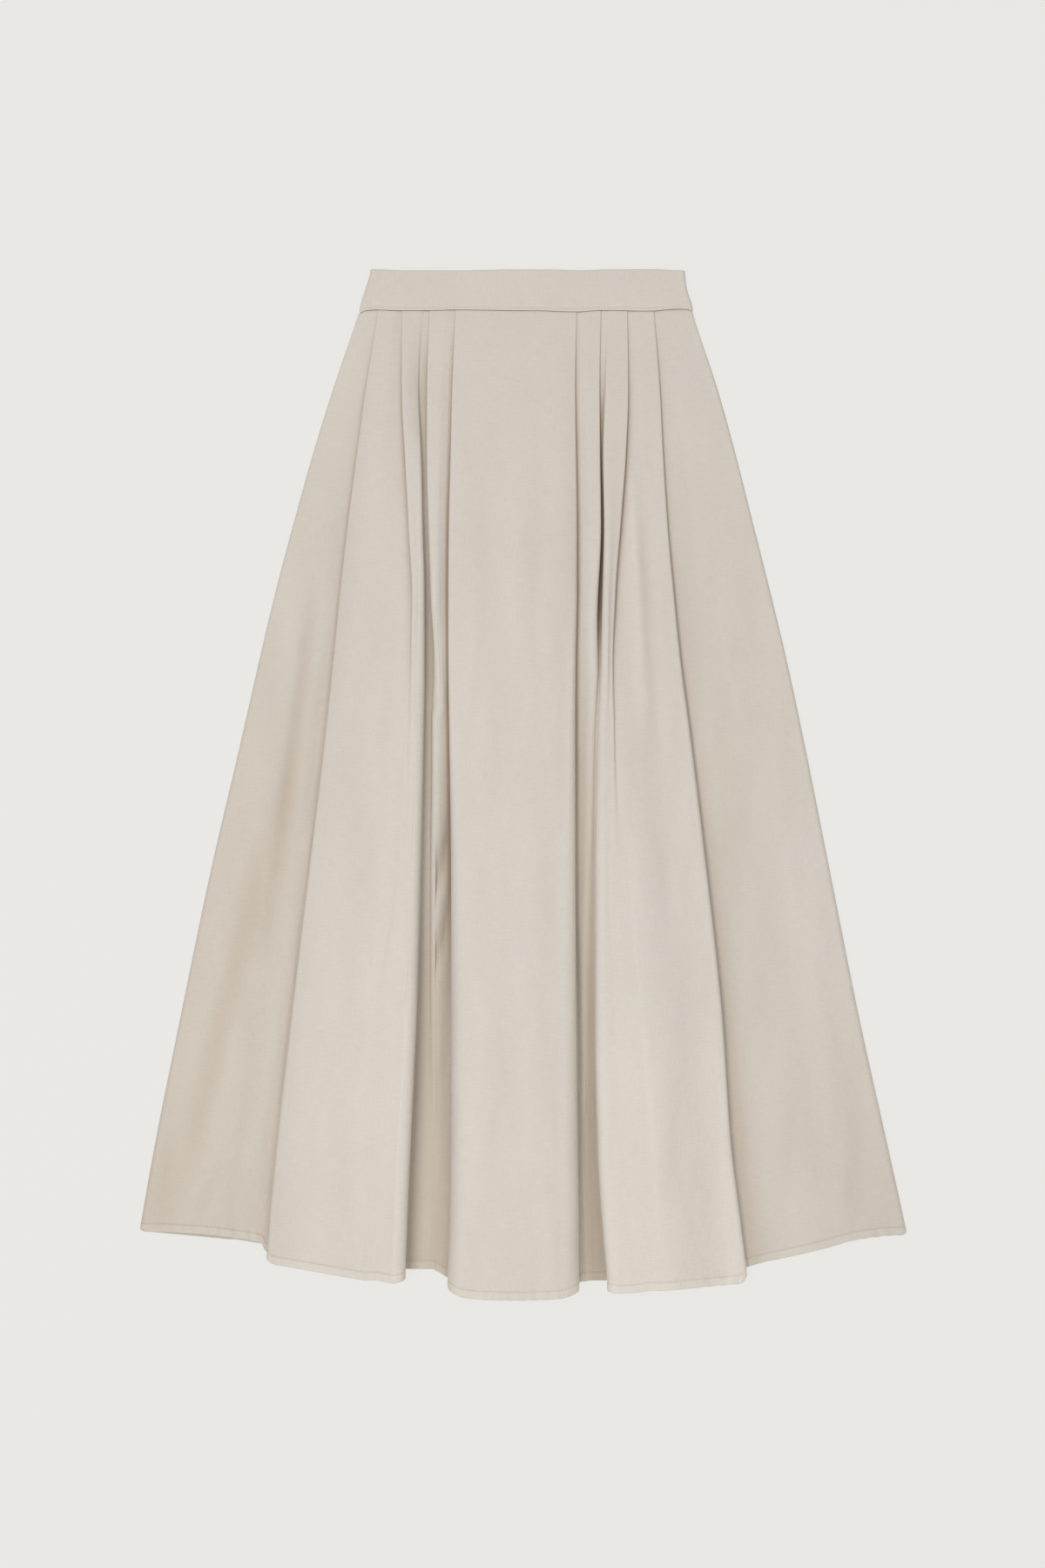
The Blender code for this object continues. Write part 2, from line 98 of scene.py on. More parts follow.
def slope_at(places, values, index):
    """Slope of a smooth curve at one of its points, which never overshoots its neighbours."""
    if index in (0, len(places) - 1):
        return 0.0
    before = places[index] - places[index - 1]
    after = places[index + 1] - places[index]
    rise_before = (values[index] - values[index - 1]) / before
    rise_after = (values[index + 1] - values[index]) / after
    if rise_before * rise_after <= 0:
        return 0.0
    weight_before = 2 * after + before
    weight_after = after + 2 * before
    return (weight_before + weight_after) / (weight_before / rise_before + weight_after / rise_after)


def smooth_between(places, values, place):
    """Value of the smooth curve through the points, carried straight on beyond its ends."""
    last = len(places) - 1
    for outside, end, inner in ((place <= places[0], 0, 1), (place >= places[last], last, last - 1)):
        if outside:
            slope = (values[inner] - values[end]) / (places[inner] - places[end])
            return values[end] + slope * (place - places[end])
    index = next(i for i in range(last) if places[i + 1] >= place)
    width = places[index + 1] - places[index]
    u = (place - places[index]) / width
    return (
        values[index] * (1 + 2 * u) * (1 - u) ** 2
        + slope_at(places, values, index) * width * u * (1 - u) ** 2
        + values[index + 1] * u * u * (3 - 2 * u)
        - slope_at(places, values, index + 1) * width * u * u * (1 - u)
    )


def ease(u):
    """From 0 to 1, level at both ends."""
    u = np.clip(u, 0, 1)
    return u * u * (3 - 2 * u)


LEFT_LINES = Table(
    "drop side pleat_1 pleat_2 shoulder pleat_3 pleat_4",
    (-25, 157.3, 142.4, 122, 99.8, 93.2, 66.4),
    (0, 166, 146, 122, 101, 94, 67.5),
    (75, 191, 158, 121.9, 105, 96.4, 70.8),
    (145, 212.5, 167.5, 118.6, 102.5, 96.8, 72.6),
    (215, 232, 176.4, 114.9, 101, 95.2, 74.4),
    (285, 250.5, 184.4, 112.2, 99.2, 92.8, 75),
    (355, 267, 191.4, 113, 99, 91.6, 74.8),
    (430, 284, 199.3, 114.5, 99.9, 91.4, 73.8),
    (570, 316.5, 216, 121, 102.8, 92.6, 72),
    (710, 345.5, 232.8, 132, 106.8, 93, 71.9),
    (850, 373.5, 248.6, 140, 113.2, 92, 72.3),
    (930, 387.5, 256, 144, 116.5, 94, 73.4),
    (990, 397, 259.5, 148, 118.4, 96, 75.2),
)
RIGHT_LINES = Table(
    "drop side pleat_1 pleat_2 shoulder pleat_3 pleat_4",
    (-25, 163.7, 130.9, 105.6, 86.8, 79.6, 55.1),
    (0, 171.8, 132.8, 106, 86, 79.2, 54.6),
    (75, 196.7, 138.6, 106.9, 83.5, 77.9, 53.2),
    (145, 216, 142.1, 104.3, 81.6, 78.4, 54.1),
    (215, 233.6, 146.5, 99, 82.6, 79.4, 55),
    (285, 251.2, 152.7, 93.7, 81, 77.8, 55),
    (355, 268, 159.7, 92, 79.2, 76.4, 53.6),
    (430, 284, 169.4, 92.8, 75.6, 73, 53.2),
    (570, 312, 186.1, 98, 73.5, 70.4, 53.2),
    (710, 340, 201.1, 108, 73.5, 68, 54.3),
    (850, 371, 210.8, 118, 76.1, 68, 55.9),
    (930, 388.5, 220.6, 124, 81.3, 70, 56.8),
    (990, 400, 226.6, 128, 85.8, 72, 56.8),
)
LEFT_HEIGHTS = Table(
    "drop side swell high_1 low_2 high_2 crest high_3 low_4 centre turn_2 turn_3",
    (0, 4.8, 0, 7.8, 4.8, 7.8, 7.8, 7.8, 4.8, 7.8, 180, 180),
    (75, 4.9, 0.3, 7.9, 5, 8.2, 8.8, 8, 5, 8.2, 180, 180),
    (145, 5.1, 0.8, 8.2, 5.6, 9.2, 11.4, 9.6, 5.6, 9.8, 180, 180),
    (215, 5.4, 1.6, 8.6, 7.2, 11, 14, 11.4, 5.8, 12, 180, 180),
    (285, 5.8, 2.6, 9, 9.6, 13.2, 16.4, 13.4, 6.8, 14.4, 110, 180),
    (355, 6.2, 3.8, 9.6, 12.8, 16.8, 18.8, 15, 11.4, 17.4, 60, 120),
    (430, 6.6, 4.8, 10.2, 17.4, 20.8, 21.6, 16.2, 11, 20.6, 30, 70),
    (570, 7.2, 5.8, 11.6, 24.2, 26.4, 27, 14.8, 6.4, 26.6, 20, 25),
    (710, 7.8, 6.4, 12.8, 29.4, 31, 31.4, 10.5, 5, 31.4, 0, 0),
    (850, 8.4, 7, 14, 32, 33.5, 34, 5.8, 4.8, 34.2, 0, 0),
    (990, 8.8, 7.4, 15, 32.8, 34.3, 35, 4.8, 4.8, 35.6, 0, 0),
)
RIGHT_HEIGHTS = Table(
    "drop side swell high_1 low_2 high_2 crest high_3 low_4 centre turn_2 turn_3",
    (0, 4.8, 0, 7.8, 4.8, 7.8, 7.8, 7.8, 4.8, 7.8, 180, 180),
    (75, 4.9, 0.2, 8, 4.9, 8, 8.6, 8, 4.9, 8.2, 180, 180),
    (145, 5.1, 0.6, 8.6, 5.2, 9.2, 11.2, 9.6, 5.2, 9.8, 180, 180),
    (215, 5.4, 1.2, 9.4, 6, 11.2, 14.2, 11.6, 5.6, 12, 180, 180),
    (285, 5.8, 1.8, 10.4, 7.6, 13.4, 16.8, 13.4, 5.8, 14.4, 180, 150),
    (355, 6.2, 2.4, 11.4, 12.4, 16.8, 19.2, 15.6, 5.8, 17.4, 120, 90),
    (430, 6.6, 3, 12.4, 18.6, 21, 21.8, 17, 5.6, 20.6, 70, 60),
    (570, 7.2, 4.2, 13.6, 25.7, 26.3, 27, 16, 5.4, 26.6, 0, 30),
    (710, 7.8, 5.2, 14.6, 30.3, 30.8, 31.4, 12.2, 5, 31.4, 0, 0),
    (850, 8.4, 6, 15.4, 33.1, 33.4, 34, 8, 4.8, 34.2, 0, 0),
    (990, 8.8, 6.4, 15.8, 34, 34.3, 35, 6.4, 4.8, 35.6, 0, 0),
)
DEPTHS = Table(
    "drop pleat_1 pleat_2 pleat_3 pleat_4 shoulder_top shoulder_foot",
    (0, 15.5, 12.5, 14, 15.5, 4, 4),
    (75, 18, 10.5, 12, 15.5, 2.6, 2),
    (145, 21, 9, 10.5, 16, 2.4, 1.7),
    (215, 24, 7, 8, 17, 3.4, 1.7),
    (285, 27, 4, 5, 18, 4.6, 1.7),
    (430, 34, 1.5, 1.5, 22, 7.5, 2.4),
    (710, 44, 1.5, 1.5, 30, 10, 3.6),
    (990, 50, 1.5, 1.5, 37, 11, 4.4),
)

# Drop of the hem at each line of the front, from the side seam inwards.
HEM_LINES = ("side", "under_1", "over_1", "raised", "middle", "crest", "rim", "well", "under_4", "over_4")
LEFT_HEM = dict(zip(HEM_LINES, (929.5, 950, 960.5, 970.5, 975.5, 978.8, 974.5, 967.5, 976, 993)))
RIGHT_HEM = dict(zip(HEM_LINES, (933, 965.5, 980.5, 985, 986, 988.7, 987.3, 979, 981, 993.5)))

# Share of the way from the side seam to the fold, and of the hem's drop on that way.
SIDE_HEM = Table(
    "way left right",
    (0, 0, 0),
    (0.28, 0.04, 0.12),
    (0.5, 0.11, 0.4),
    (0.72, 0.3, 0.66),
    (0.9, 0.48, 0.86),
    (0.96, 0.6, 0.94),
    (1, 1, 1),
)

# Painted shade and painted light on the cloth, against 1 on the middle panel near the waist: the side
# panels and the hollows are painted darker where less light reaches them, and the folds lighter where they
# slope away from the light.
PAINTED_LIGHT_AND_SHADE = Table(
    "drop side_left side_right hollow_left hollow_right fold_left fold_right",
    (0, 1, 1, 1, 1, 1, 1),
    (75, 0.99, 0.995, 1, 1, 1, 1),
    (150, 0.978, 0.99, 1, 1, 1, 1),
    (300, 0.96, 0.98, 1, 1, 1, 1),
    (400, 0.945, 0.985, 0.98, 0.96, 1, 1),
    (570, 0.93, 0.985, 0.94, 0.86, 1.01, 1.02),
    (740, 0.938, 0.98, 0.87, 0.8, 1.01, 1.05),
    (990, 0.93, 0.968, 0.855, 0.79, 1, 1.075),
)

# Painted shade towards each fold: the shadow it casts and the shade in the wedges and hollows beside it.
# The wedges beside the rims are scaled, the rest are depths at a line, which fade away from it. Below zero
# they are painted light instead.
SHADES_LEFT = Table(
    "drop wedge line edge raised second rim third fourth corner",
    (0, 1, 0, 0, 0, 0.03, 0.01, 0.15, 0.04, 0),
    (40, 1, 0.02, 0.03, 0.01, 0.22, 0.07, 0.32, 0.24, 0),
    (75, 0.94, 0.04, 0.05, 0.02, 0.3, 0.12, 0.32, 0.32, 0),
    (110, 0.88, 0.05, 0.06, 0.03, 0.36, 0.12, 0.16, 0.4, 0),
    (145, 0.84, 0.05, 0.08, 0.03, 0.4, 0.05, 0, 0.54, 0),
    (215, 0.88, 0.05, 0.09, 0.04, 0.24, 0, 0, 0.7, 0),
    (285, 0.87, 0.04, 0.08, 0.05, 0.12, 0, 0, 0.76, 0),
    (355, 0.82, 0.03, 0.08, 0.05, 0.06, 0, 0, 0.74, 0),
    (430, 0.86, 0.02, 0.07, 0.05, 0, 0, 0, 0.78, 0),
    (570, 0.95, 0, 0.06, 0.05, 0, 0, 0, 0.78, 0),
    (640, 0.96, 0, 0.06, 0.055, 0, 0, 0, 0.44, 0.01),
    (740, 0.98, 0, 0.06, 0.065, 0, -0.13, 0, 0.04, 0.02),
    (990, 1.03, 0, 0.06, 0.06, 0, -0.2, 0, 0, 0.06),
)
SHADES_RIGHT = Table(
    "drop wedge line edge raised second rim third fourth corner",
    (0, 1, 0.02, 0, 0, 0.05, 0, 0, 0.05, 0),
    (40, 1, 0.08, 0.02, 0, 0.2, 0, 0, 0.14, 0),
    (75, 0.92, 0.1, 0.04, 0, 0.3, 0, 0, 0.24, 0),
    (110, 0.7, 0.1, 0.06, 0, 0.5, 0, 0, 0.34, 0),
    (145, 0.58, 0.1, 0.07, 0, 0.62, 0, 0, 0.42, 0),
    (215, 0.45, 0.06, 0.1, 0, 0.52, 0, 0, 0.52, 0),
    (285, 0.46, 0.02, 0.12, 0, 0.3, 0, 0, 0.56, 0),
    (330, 0.66, 0, 0.12, 0, 0.12, 0, 0, 0.54, 0),
    (375, 0.94, -0.08, 0.13, 0, 0.03, 0, 0, 0.5, 0),
    (430, 1.02, -0.16, 0.16, 0.01, 0, 0, 0, 0.36, 0),
    (570, 1.02, -0.38, 0.25, 0.02, 0, 0, 0, -0.1, 0),
    (640, 1.02, -0.46, 0.26, 0.02, 0, 0, 0, -0.24, 0),
    (740, 1, -0.56, 0.27, 0.01, 0, 0, 0, -0.42, 0.01),
    (990, 1, -0.64, 0.22, -0.025, 0, 0, 0, -0.46, 0.035),
)

# Painted shade on the middle panel towards its right edge, and painted light on the roll there, which faces
# away from the light.
MIDDLE_SHADE = Table(
    "drop depth lift",
    (0, 0, 0),
    (60, 0.02, 0),
    (145, 0.05, 0),
    (250, 0.075, 0),
    (400, 0.06, 0.1),
    (570, 0.035, 0.22),
    (740, 0.01, 0.28),
    (990, 0, 0.28),
)

# How far the rim of the right hollow drops to its floor, which rises where the folds meet.
WELL_FLOOR = Table(
    "drop left right",
    (0, 4.8, 4.8),
    (285, 4.8, 4.8),
    (355, 5.6, 11),
    (430, 7.4, 14.4),
    (570, 7.6, 13.8),
    (710, 6, 10.6),
    (850, 4.8, 7),
    (990, 4.8, 5.2),
)
BACK_PLEATS = Table(
    "number waist hem waist_depth hem_depth",
    (1, 143, 292, 14, 36),
    (2, 116, 214, 14, 32),
    (3, 89, 146, 13, 30),
    (4, 62, 84, 13, 28),
)
BACK_BEND = 0.35
BACK_HEM = Table(
    "distance drop",
    (0, 968),
    (115, 962),
    (260, 943),
    (390, 925),
)
BACK_RAMP = 7.0

# How far the waistband's ends lie from the centre line, below its top edge.
BAND_ENDS = Table(
    "down left right",
    (0, 152.9, 163.5),
    (20, 158.2, 165.6),
    (42.7, 164.3, 171.6),
)

# Width of the slope that is left where a pleat has opened out, how much of their
# height the pleats keep where the band presses them, and how wide the hollow's
# floor falls to the middle panel's edge.
OPENED = Table(
    "drop slope pressed hollow",
    (0, 9, 0.38, 5),
    (30, 9, 0.52, 4),
    (100, 9, 1, 3),
    (430, 9, 1, 3.5),
    (500, 15, 1, 6),
    (570, 20, 1, 8),
    (710, 24, 1, 8),
    (990, 26, 1, 8),
)

# The waist seam isn't quite straight: it turns down at its ends and waves in between.
SEAM_WAVE = Table(
    "x rise",
    (-166, -1.8),
    (-160, 1.4),
    (-148, 2.4),
    (-130, 1.7),
    (-106, 1.6),
    (-88, 1.8),
    (-68, 2.4),
    (-35, 2.1),
    (-9, 1.6),
    (17, 1.5),
    (44, 0.5),
    (58, 0.4),
    (68, 1.2),
    (80, 1.9),
    (100, 1.7),
    (119, 1.1),
    (133, 1.3),
    (145, 2.5),
    (156, 3.1),
    (166, 3.1),
    (171, 1.4),
    (176, -1.6),
)
BAND_TOP_WAVE = Table(
    "x rise",
    (-155, 0.8),
    (-120, -0.4),
    (-60, -0.5),
    (-10, 0.5),
    (30, 0.4),
    (60, -0.5),
    (85, 0.5),
    (135, 0.6),
    (158, -0.4),
    (165, -0.6),
)

# The last value paints light on the side's roll: the right one faces away from the light.
Half = namedtuple("Half", "name lines heights hem shades roll_shade")
LEFT = Half("left", LEFT_LINES, LEFT_HEIGHTS, LEFT_HEM, SHADES_LEFT, 0)
RIGHT = Half("right", RIGHT_LINES, RIGHT_HEIGHTS, RIGHT_HEM, SHADES_RIGHT, -0.26)


class Section:
    """One section of the cloth, from the side seam towards the centre line.

    A point is (across, height, hem, free, shading): across grows towards the centre line, hem is the drop
    of the hem below the point, free is 1 where the cloth is open to creases and 0 in a fold, and shading
    scales its colour as painted shade below 1 and painted light above it.
    """

    def __init__(self, across, height, hem, tone=1.0):
        self.tone = tone
        self.shades = []
        self.points = []
        self.to(across, height, hem)

    def to(self, across, height, hem, free=0):
        tone = self.tone
        # Each shade is painted shade that fades away from its line, or painted light where its depth is
        # below zero.
        for place, depth, reach in self.shades:
            tone *= 1 - depth * math.exp(-abs(across - place) / reach)
        self.points.append((across, height, hem, free, tone))

    def repaint_shading(self, count, tone):
        self.points[-count:] = [(*point[:4], tone) for point in self.points[-count:]]

    def straight(self, across, height, hem, steps):
        start = np.array(self.points[-1][:3])
        for step in range(1, steps + 1):
            self.to(*(start + ((across, height, hem) - start) * step / steps))

    def run(self, across, height, hem, steps, swell=0, free=1, hem_way=None, gather=1):
        """Cloth that leaves level and arrives level, with an optional swell between."""
        x, z, low = self.points[-1][:3]
        for step in range(1, steps + 1):
            u = 1 - (1 - step / steps) ** gather
            rise = (height - z) * ease(u) + swell * math.sin(math.pi * u) ** 2
            way = SIDE_HEM.at(hem_way, u) if hem_way else u
            self.to(x + (across - x) * u, z + rise, low + (hem - low) * way, free)

    def turn(self, radius, start, end, hem, steps):
        """Arc from one heading to another, in radians. Heading 0 points to the centre line."""
        x, z, low = self.points[-1][:3]
        radius = math.copysign(radius, end - start)
        for step in range(1, steps + 1):
            heading = start + (end - start) * step / steps
            across = x + radius * (math.sin(heading) - math.sin(start))
            height = z - radius * (math.cos(heading) - math.cos(start))
            self.to(across, height, low + (hem - low) * step / steps)

    def go(self, distance, angle, hem, steps):
        """Cloth that goes straight on at a heading."""
        across, height = self.points[-1][:2]
        self.straight(across + distance * math.cos(angle), height + distance * math.sin(angle), hem, steps)


class Pleat:
    """A pleat: the cloth turns back on itself, runs out to its edge and turns again."""

    def __init__(self, edge, depth, low, high, turn, slope=9.0):
        rise = max(high - low, 0.001)
        angle = math.radians(turn)
        if rise < PLEAT_RISE:
            angle = min(angle, math.acos(1 - 2 * rise / PLEAT_RISE))
        self.angle = max(angle, 2 * math.atan(rise / slope))
        both = rise / (1 - math.cos(self.angle))
        self.inner = min(both / 2, TURN) if self.angle > math.pi / 2 else both / 2
        self.outer = both - self.inner
        inward = max(0.0, -math.cos(self.angle))
        self.back = max(SHORTEST, (depth - both) * inward)
        middle = -edge + self.outer * inward + self.back / 2
        self.start = middle - self.inner * math.sin(self.angle) - self.back / 2 * math.cos(self.angle)
        self.low = low
        # Where the cloth is level again on its way to the pleat.
        self.level = min(-edge - PLEAT_CLEAR, self.start - SHORTEST)

    def add_to(self, section, hem, steps, tone=None):
        """The steps are those under the pleat, round its inner turn, back, and round its edge."""
        before = section.points[-1][2]
        section.straight(self.start, self.low, before, steps[0])
        section.turn(self.inner, 0, self.angle, before, steps[1])
        section.go(self.back, self.angle, before, steps[2])
        section.turn(self.outer, self.angle, 0, hem, steps[3])
        if tone is not None:
            section.repaint_shading(steps[3], tone)


# Steps of each pleat, in the order of add_to, and of each stretch between them.
PLEAT_STEPS = {1: (3, 5, 5, 9), 2: (2, 5, 2, 7), 3: (3, 5, 2, 7), 4: (3, 5, 4, 18)}
STEPS = dict(roll=6, side=36, fold=9, raised=16, rim=9, over=12, fall=5, foot=7, floor=5, climb=7)

# Above 1, the side panel's points lie closer together as they come to the fold.
SIDE_GATHER = 1.45

# The first pleat opens from this drop on, over this length, and then keeps this little of its depth.
FOLD_OPENS = 280
FOLD_OPENING = 320
FOLD_KEPT = 0.2

# How far each painted shade reaches from its line at the waist, and how much further at the hem.
SHADE_REACH = {
    "edge": (3.5, 8.5),
    "line": (1.8, 0),
    "raised": (14, 30),
    "second": (1.5, 4),
    "rim": (7, 0),
    "third": (1.6, 0),
    "fourth": (0.9, 3),
    "corner": (40, 0),
}
ROLL_REACH = 2.2

# The line's painted shade goes on over the fold's edge, fainter.
LINE_OVER = 0.35
LINE_OVER_REACH = 2.0


def shade_of(half, name, place, drop, way=0):
    """One painted shade of a section: where it lies, how deep it is and how far it reaches."""
    near, further = SHADE_REACH[name]
    return place, half.shades.at(name, drop), near + further * way


def side_stretch(section, half, share):
    """The side panel, and the pleat under the raised fold's outer edge."""
    name, lines, heights, hem, shades, _ = half
    drop, over = share * hem["side"], share * hem["over_1"]
    edge, high = lines.at("pleat_1", over), heights.at("high_1", over)
    depth = DEPTHS.at("pleat_1", over)
    to = (-edge - PLEAT_CLEAR, FRONT_LEVEL, hem["under_1"], STEPS["side"], heights.at("swell", drop))
    # Painted shadow that the raised fold casts on the side panel, a painted line of shade or light at its
    # edge, and painted shade or light on the fold.
    section.shades += [shade_of(half, "edge", -edge, drop, share), shade_of(half, "line", -edge, drop)]
    section.run(*to, hem_way=name, gather=SIDE_GATHER)
    over_edge = (-edge, shades.at("line", drop) * LINE_OVER, LINE_OVER_REACH)
    section.shades = [shade_of(half, "raised", -edge, drop, share), over_edge]
    section.tone = PAINTED_LIGHT_AND_SHADE.at("fold_" + name, drop)
    Pleat(edge, depth, FRONT_LEVEL, high, 180).add_to(section, hem["over_1"], PLEAT_STEPS[1])
    kept = 1 - (1 - FOLD_KEPT) * ease((drop - FOLD_OPENS) / FOLD_OPENING)
    return -edge + depth * kept, high, hem["over_1"] + (hem["raised"] - hem["over_1"]) * kept


def raised_stretch(section, half, share, clear, high, clear_hem):
    """The raised fold, from its outer edge to the end of its fading pleat."""
    lines, heights, hem = half.lines, half.heights, half.hem
    over = share * hem["over_1"]
    edge, low = lines.at("pleat_2", over), heights.at("low_2", over)
    turn, slope = heights.at("turn_2", over), OPENED.at("slope", over)
    pleat = Pleat(edge, DEPTHS.at("pleat_2", over), low, heights.at("high_2", over), turn, slope)
    section.run(min(clear, pleat.level - RAISED_SLOPE), high, clear_hem, STEPS["fold"])
    # Painted shade along the fading pleat's edge.
    section.shades = [section.shades[0], shade_of(half, "second", -edge, over, share)]
    section.run(pleat.level, low, hem["middle"], STEPS["raised"])
    late = hem["middle"] + (hem["crest"] - hem["middle"]) * 0.8
    pleat.add_to(section, late, PLEAT_STEPS[2], section.tone)


def shoulder(section, half, share):
    """The rim of a hollow: the cloth turns down, drops, and turns level again."""
    name, lines, heights, hem, shades, _ = half
    drop = share * hem["crest"]
    edge, crest = lines.at("shoulder", drop), heights.at("crest", drop)
    top, foot = DEPTHS.at("shoulder_top", drop), DEPTHS.at("shoulder_foot", drop)
    fall = crest - WELL_FLOOR.at(name, drop)
    angle = OVERHANG
    if (top + foot) * (1 - math.cos(angle)) > fall - SHORTEST:
        angle = math.acos(1 - (fall - SHORTEST) / (top + foot))
    straight = (fall - (top + foot) * (1 - math.cos(angle))) / math.sin(angle)
    # Painted shade before the rim, and in the wedge below it.
    section.shades = [shade_of(half, "rim", -edge, drop)]
    section.run(-edge - top * math.sin(min(angle, math.pi / 2)), crest, hem["crest"], STEPS["rim"])
    section.turn(top, 0, -angle, hem["rim"], STEPS["over"])
    section.tone = PAINTED_LIGHT_AND_SHADE.at("hollow_" + name, drop) * shades.at("wedge", drop)
    section.shades = []
    section.go(max(SHORTEST, straight), -angle, hem["well"], STEPS["fall"])
    section.turn(foot, -angle, 0, hem["well"], STEPS["foot"])


def hollow_stretch(section, half, share):
    """The floor of the hollow with its fading pleat, and the roll up to the middle panel."""
    name, lines, heights, hem = half[:4]
    drop, over = share * hem["well"], share * hem["over_4"]
    edge, high = lines.at("pleat_3", drop), heights.at("high_3", drop)
    depth = DEPTHS.at("pleat_3", drop)
    # Painted shade along the hollow's pleat, on its floor and beside the middle panel's edge; where a depth
    # is below zero it paints light instead.
    section.shades = [shade_of(half, "third", -edge, drop)]
    pleat = Pleat(edge, depth, WELL_FLOOR.at(name, drop), high, heights.at("turn_3", drop))
    tone = PAINTED_LIGHT_AND_SHADE.at("hollow_" + name, drop)
    pleat.add_to(section, hem["well"], PLEAT_STEPS[3], tone)
    section.tone = tone
    clear = max(-edge + depth, section.points[-1][0] + 1)

    edge, low = lines.at("pleat_4", over), heights.at("low_4", over)
    pleat = Pleat(edge, DEPTHS.at("pleat_4", over), low, heights.at("centre", over), 180)
    section.shades = [shade_of(half, "fourth", -edge - PLEAT_CLEAR, over, share * share)]
    section.run(min(clear, pleat.level - OPENED.at("hollow", over)), high, hem["well"], STEPS["floor"])
    section.run(pleat.level, low, hem["under_4"], STEPS["climb"])
    pleat.add_to(section, hem["over_4"], PLEAT_STEPS[4], 1.0)


def front_half(half, share):
    """Section of one half of the front, at a share of the way from the waist seam to the hem."""
    hem = half.hem["side"]
    drop = share * hem
    side = half.lines.at("side", drop)
    # The side panel is painted in shade, the right side's roll in painted light, and the corner at the hem
    # in painted shade.
    section = Section(-side, SIDE_SEAM_Z, hem, PAINTED_LIGHT_AND_SHADE.at("side_" + half.name, drop))
    section.shades = [(-side, half.roll_shade * share, ROLL_REACH), shade_of(half, "corner", -side, drop)]
    section.turn(half.heights.at("side", drop) - SIDE_SEAM_Z, math.pi / 2, 0, hem, STEPS["roll"])
    raised_stretch(section, half, share, *side_stretch(section, half, share))
    shoulder(section, half, share)
    hollow_stretch(section, half, share)
    return section.points


def back_half(half, share):
    """Section of one half of the back. Its outer face lies level on the surface."""
    hem = half.hem["side"]
    section = Section(-half.lines.at("side", share * hem), SIDE_SEAM_Z, hem)
    section.turn(SIDE_SEAM_Z - BACK_LEVEL, -math.pi / 2, 0, hem, 7)
    spread = share + BACK_BEND * share * (1 - share)
    raised = BACK_LEVEL + PLEAT_RISE
    for _, waist, at_hem, waist_depth, hem_depth in BACK_PLEATS.rows:
        edge = waist + (at_hem - waist) * spread
        depth = waist_depth + (hem_depth - waist_depth) * share
        hem = BACK_HEM.at("drop", edge)
        section.run(-edge - BACK_RAMP, BACK_LEVEL, hem, 9)
        section.run(-edge - PLEAT_CLEAR, raised, hem, 6, free=0)
        section.straight(-edge + depth - TURN, raised, hem, 3)
        section.turn(TURN, 0, -math.pi, hem, 6)
        section.straight(-edge + TURN, raised - PLEAT_RISE / 2, hem, 3)
        section.turn(TURN, -math.pi, 0, hem, 6)
    return section.points


def joined(left, right, middle_steps, dip=0, power=2):
    """Both halves and the stretch between them, as an array of x, z, hem, free and tone."""
    left, right = np.array(left), np.array(right[::-1]) * (-1, 1, 1, 1, 1)
    u = np.arange(1, middle_steps)[:, None] / middle_steps
    between = left[-1] + (right[0] - left[-1]) * u
    between[:, 2] += dip * (1 - np.abs(2 * u[:, 0] - 1) ** power)
    between[:, 3] = 1
    return np.concatenate((left, between, right))


NEAR_WAIST = (0, 0.7, 1.6, 3, 5, 8, 12, 17)
HEM_BAND = 8.4
NEAR_HEM = (0, 0.35, 0.9, 2, 4.2, 6.4, 7.6, HEM_BAND, 9.2, 10.4, 13)
FRONT_ROW_STEP = 11
BACK_ROW_STEP = 14


def row_places(step):
    """Drops of the rows: close at the waist and the hem, even in between."""
    top = NEAR_WAIST[-1]
    bottom = [LONGEST_DROP - up for up in reversed(NEAR_HEM)]
    count = max(2, round((bottom[0] - top) / step))
    between = [top + (bottom[0] - top) * i / count for i in range(1, count)]
    return [*NEAR_WAIST, *between, *bottom]


MIDDLE_STEPS = 38
BACK_MIDDLE_STEPS = 24
MIDDLE_DROOP = 2.4
MIDDLE_SHORT = 1.6
SEAM_DITCH = 0.2

# How much painted shade each millimetre of a crease's trough or a pucker's adds, and how much painted light
# each millimetre of their ridges adds, and the deepest trough that still counts.
TROUGH_PAINTED_SHADE = 0.022
PUCKER_PAINTED_SHADE = 0.05
DEEPEST = -9

# How near a trough may bring the cloth to the level that it lies on.
TROUGH_CLEAR = 0.2

# The middle panel's painted shade and painted light lie to the right of here, and both fade away from the
# edge.
SHADE_FROM_X = -60
LEAN_REACH = 11
LIFT_REACH = 8

# The waist seam's painted shade, and how far it and the ditch at the seam reach down.
SEAM_SHADE = 0.12
SEAM_SHADE_REACH = 0.8
DITCH_REACH = 3
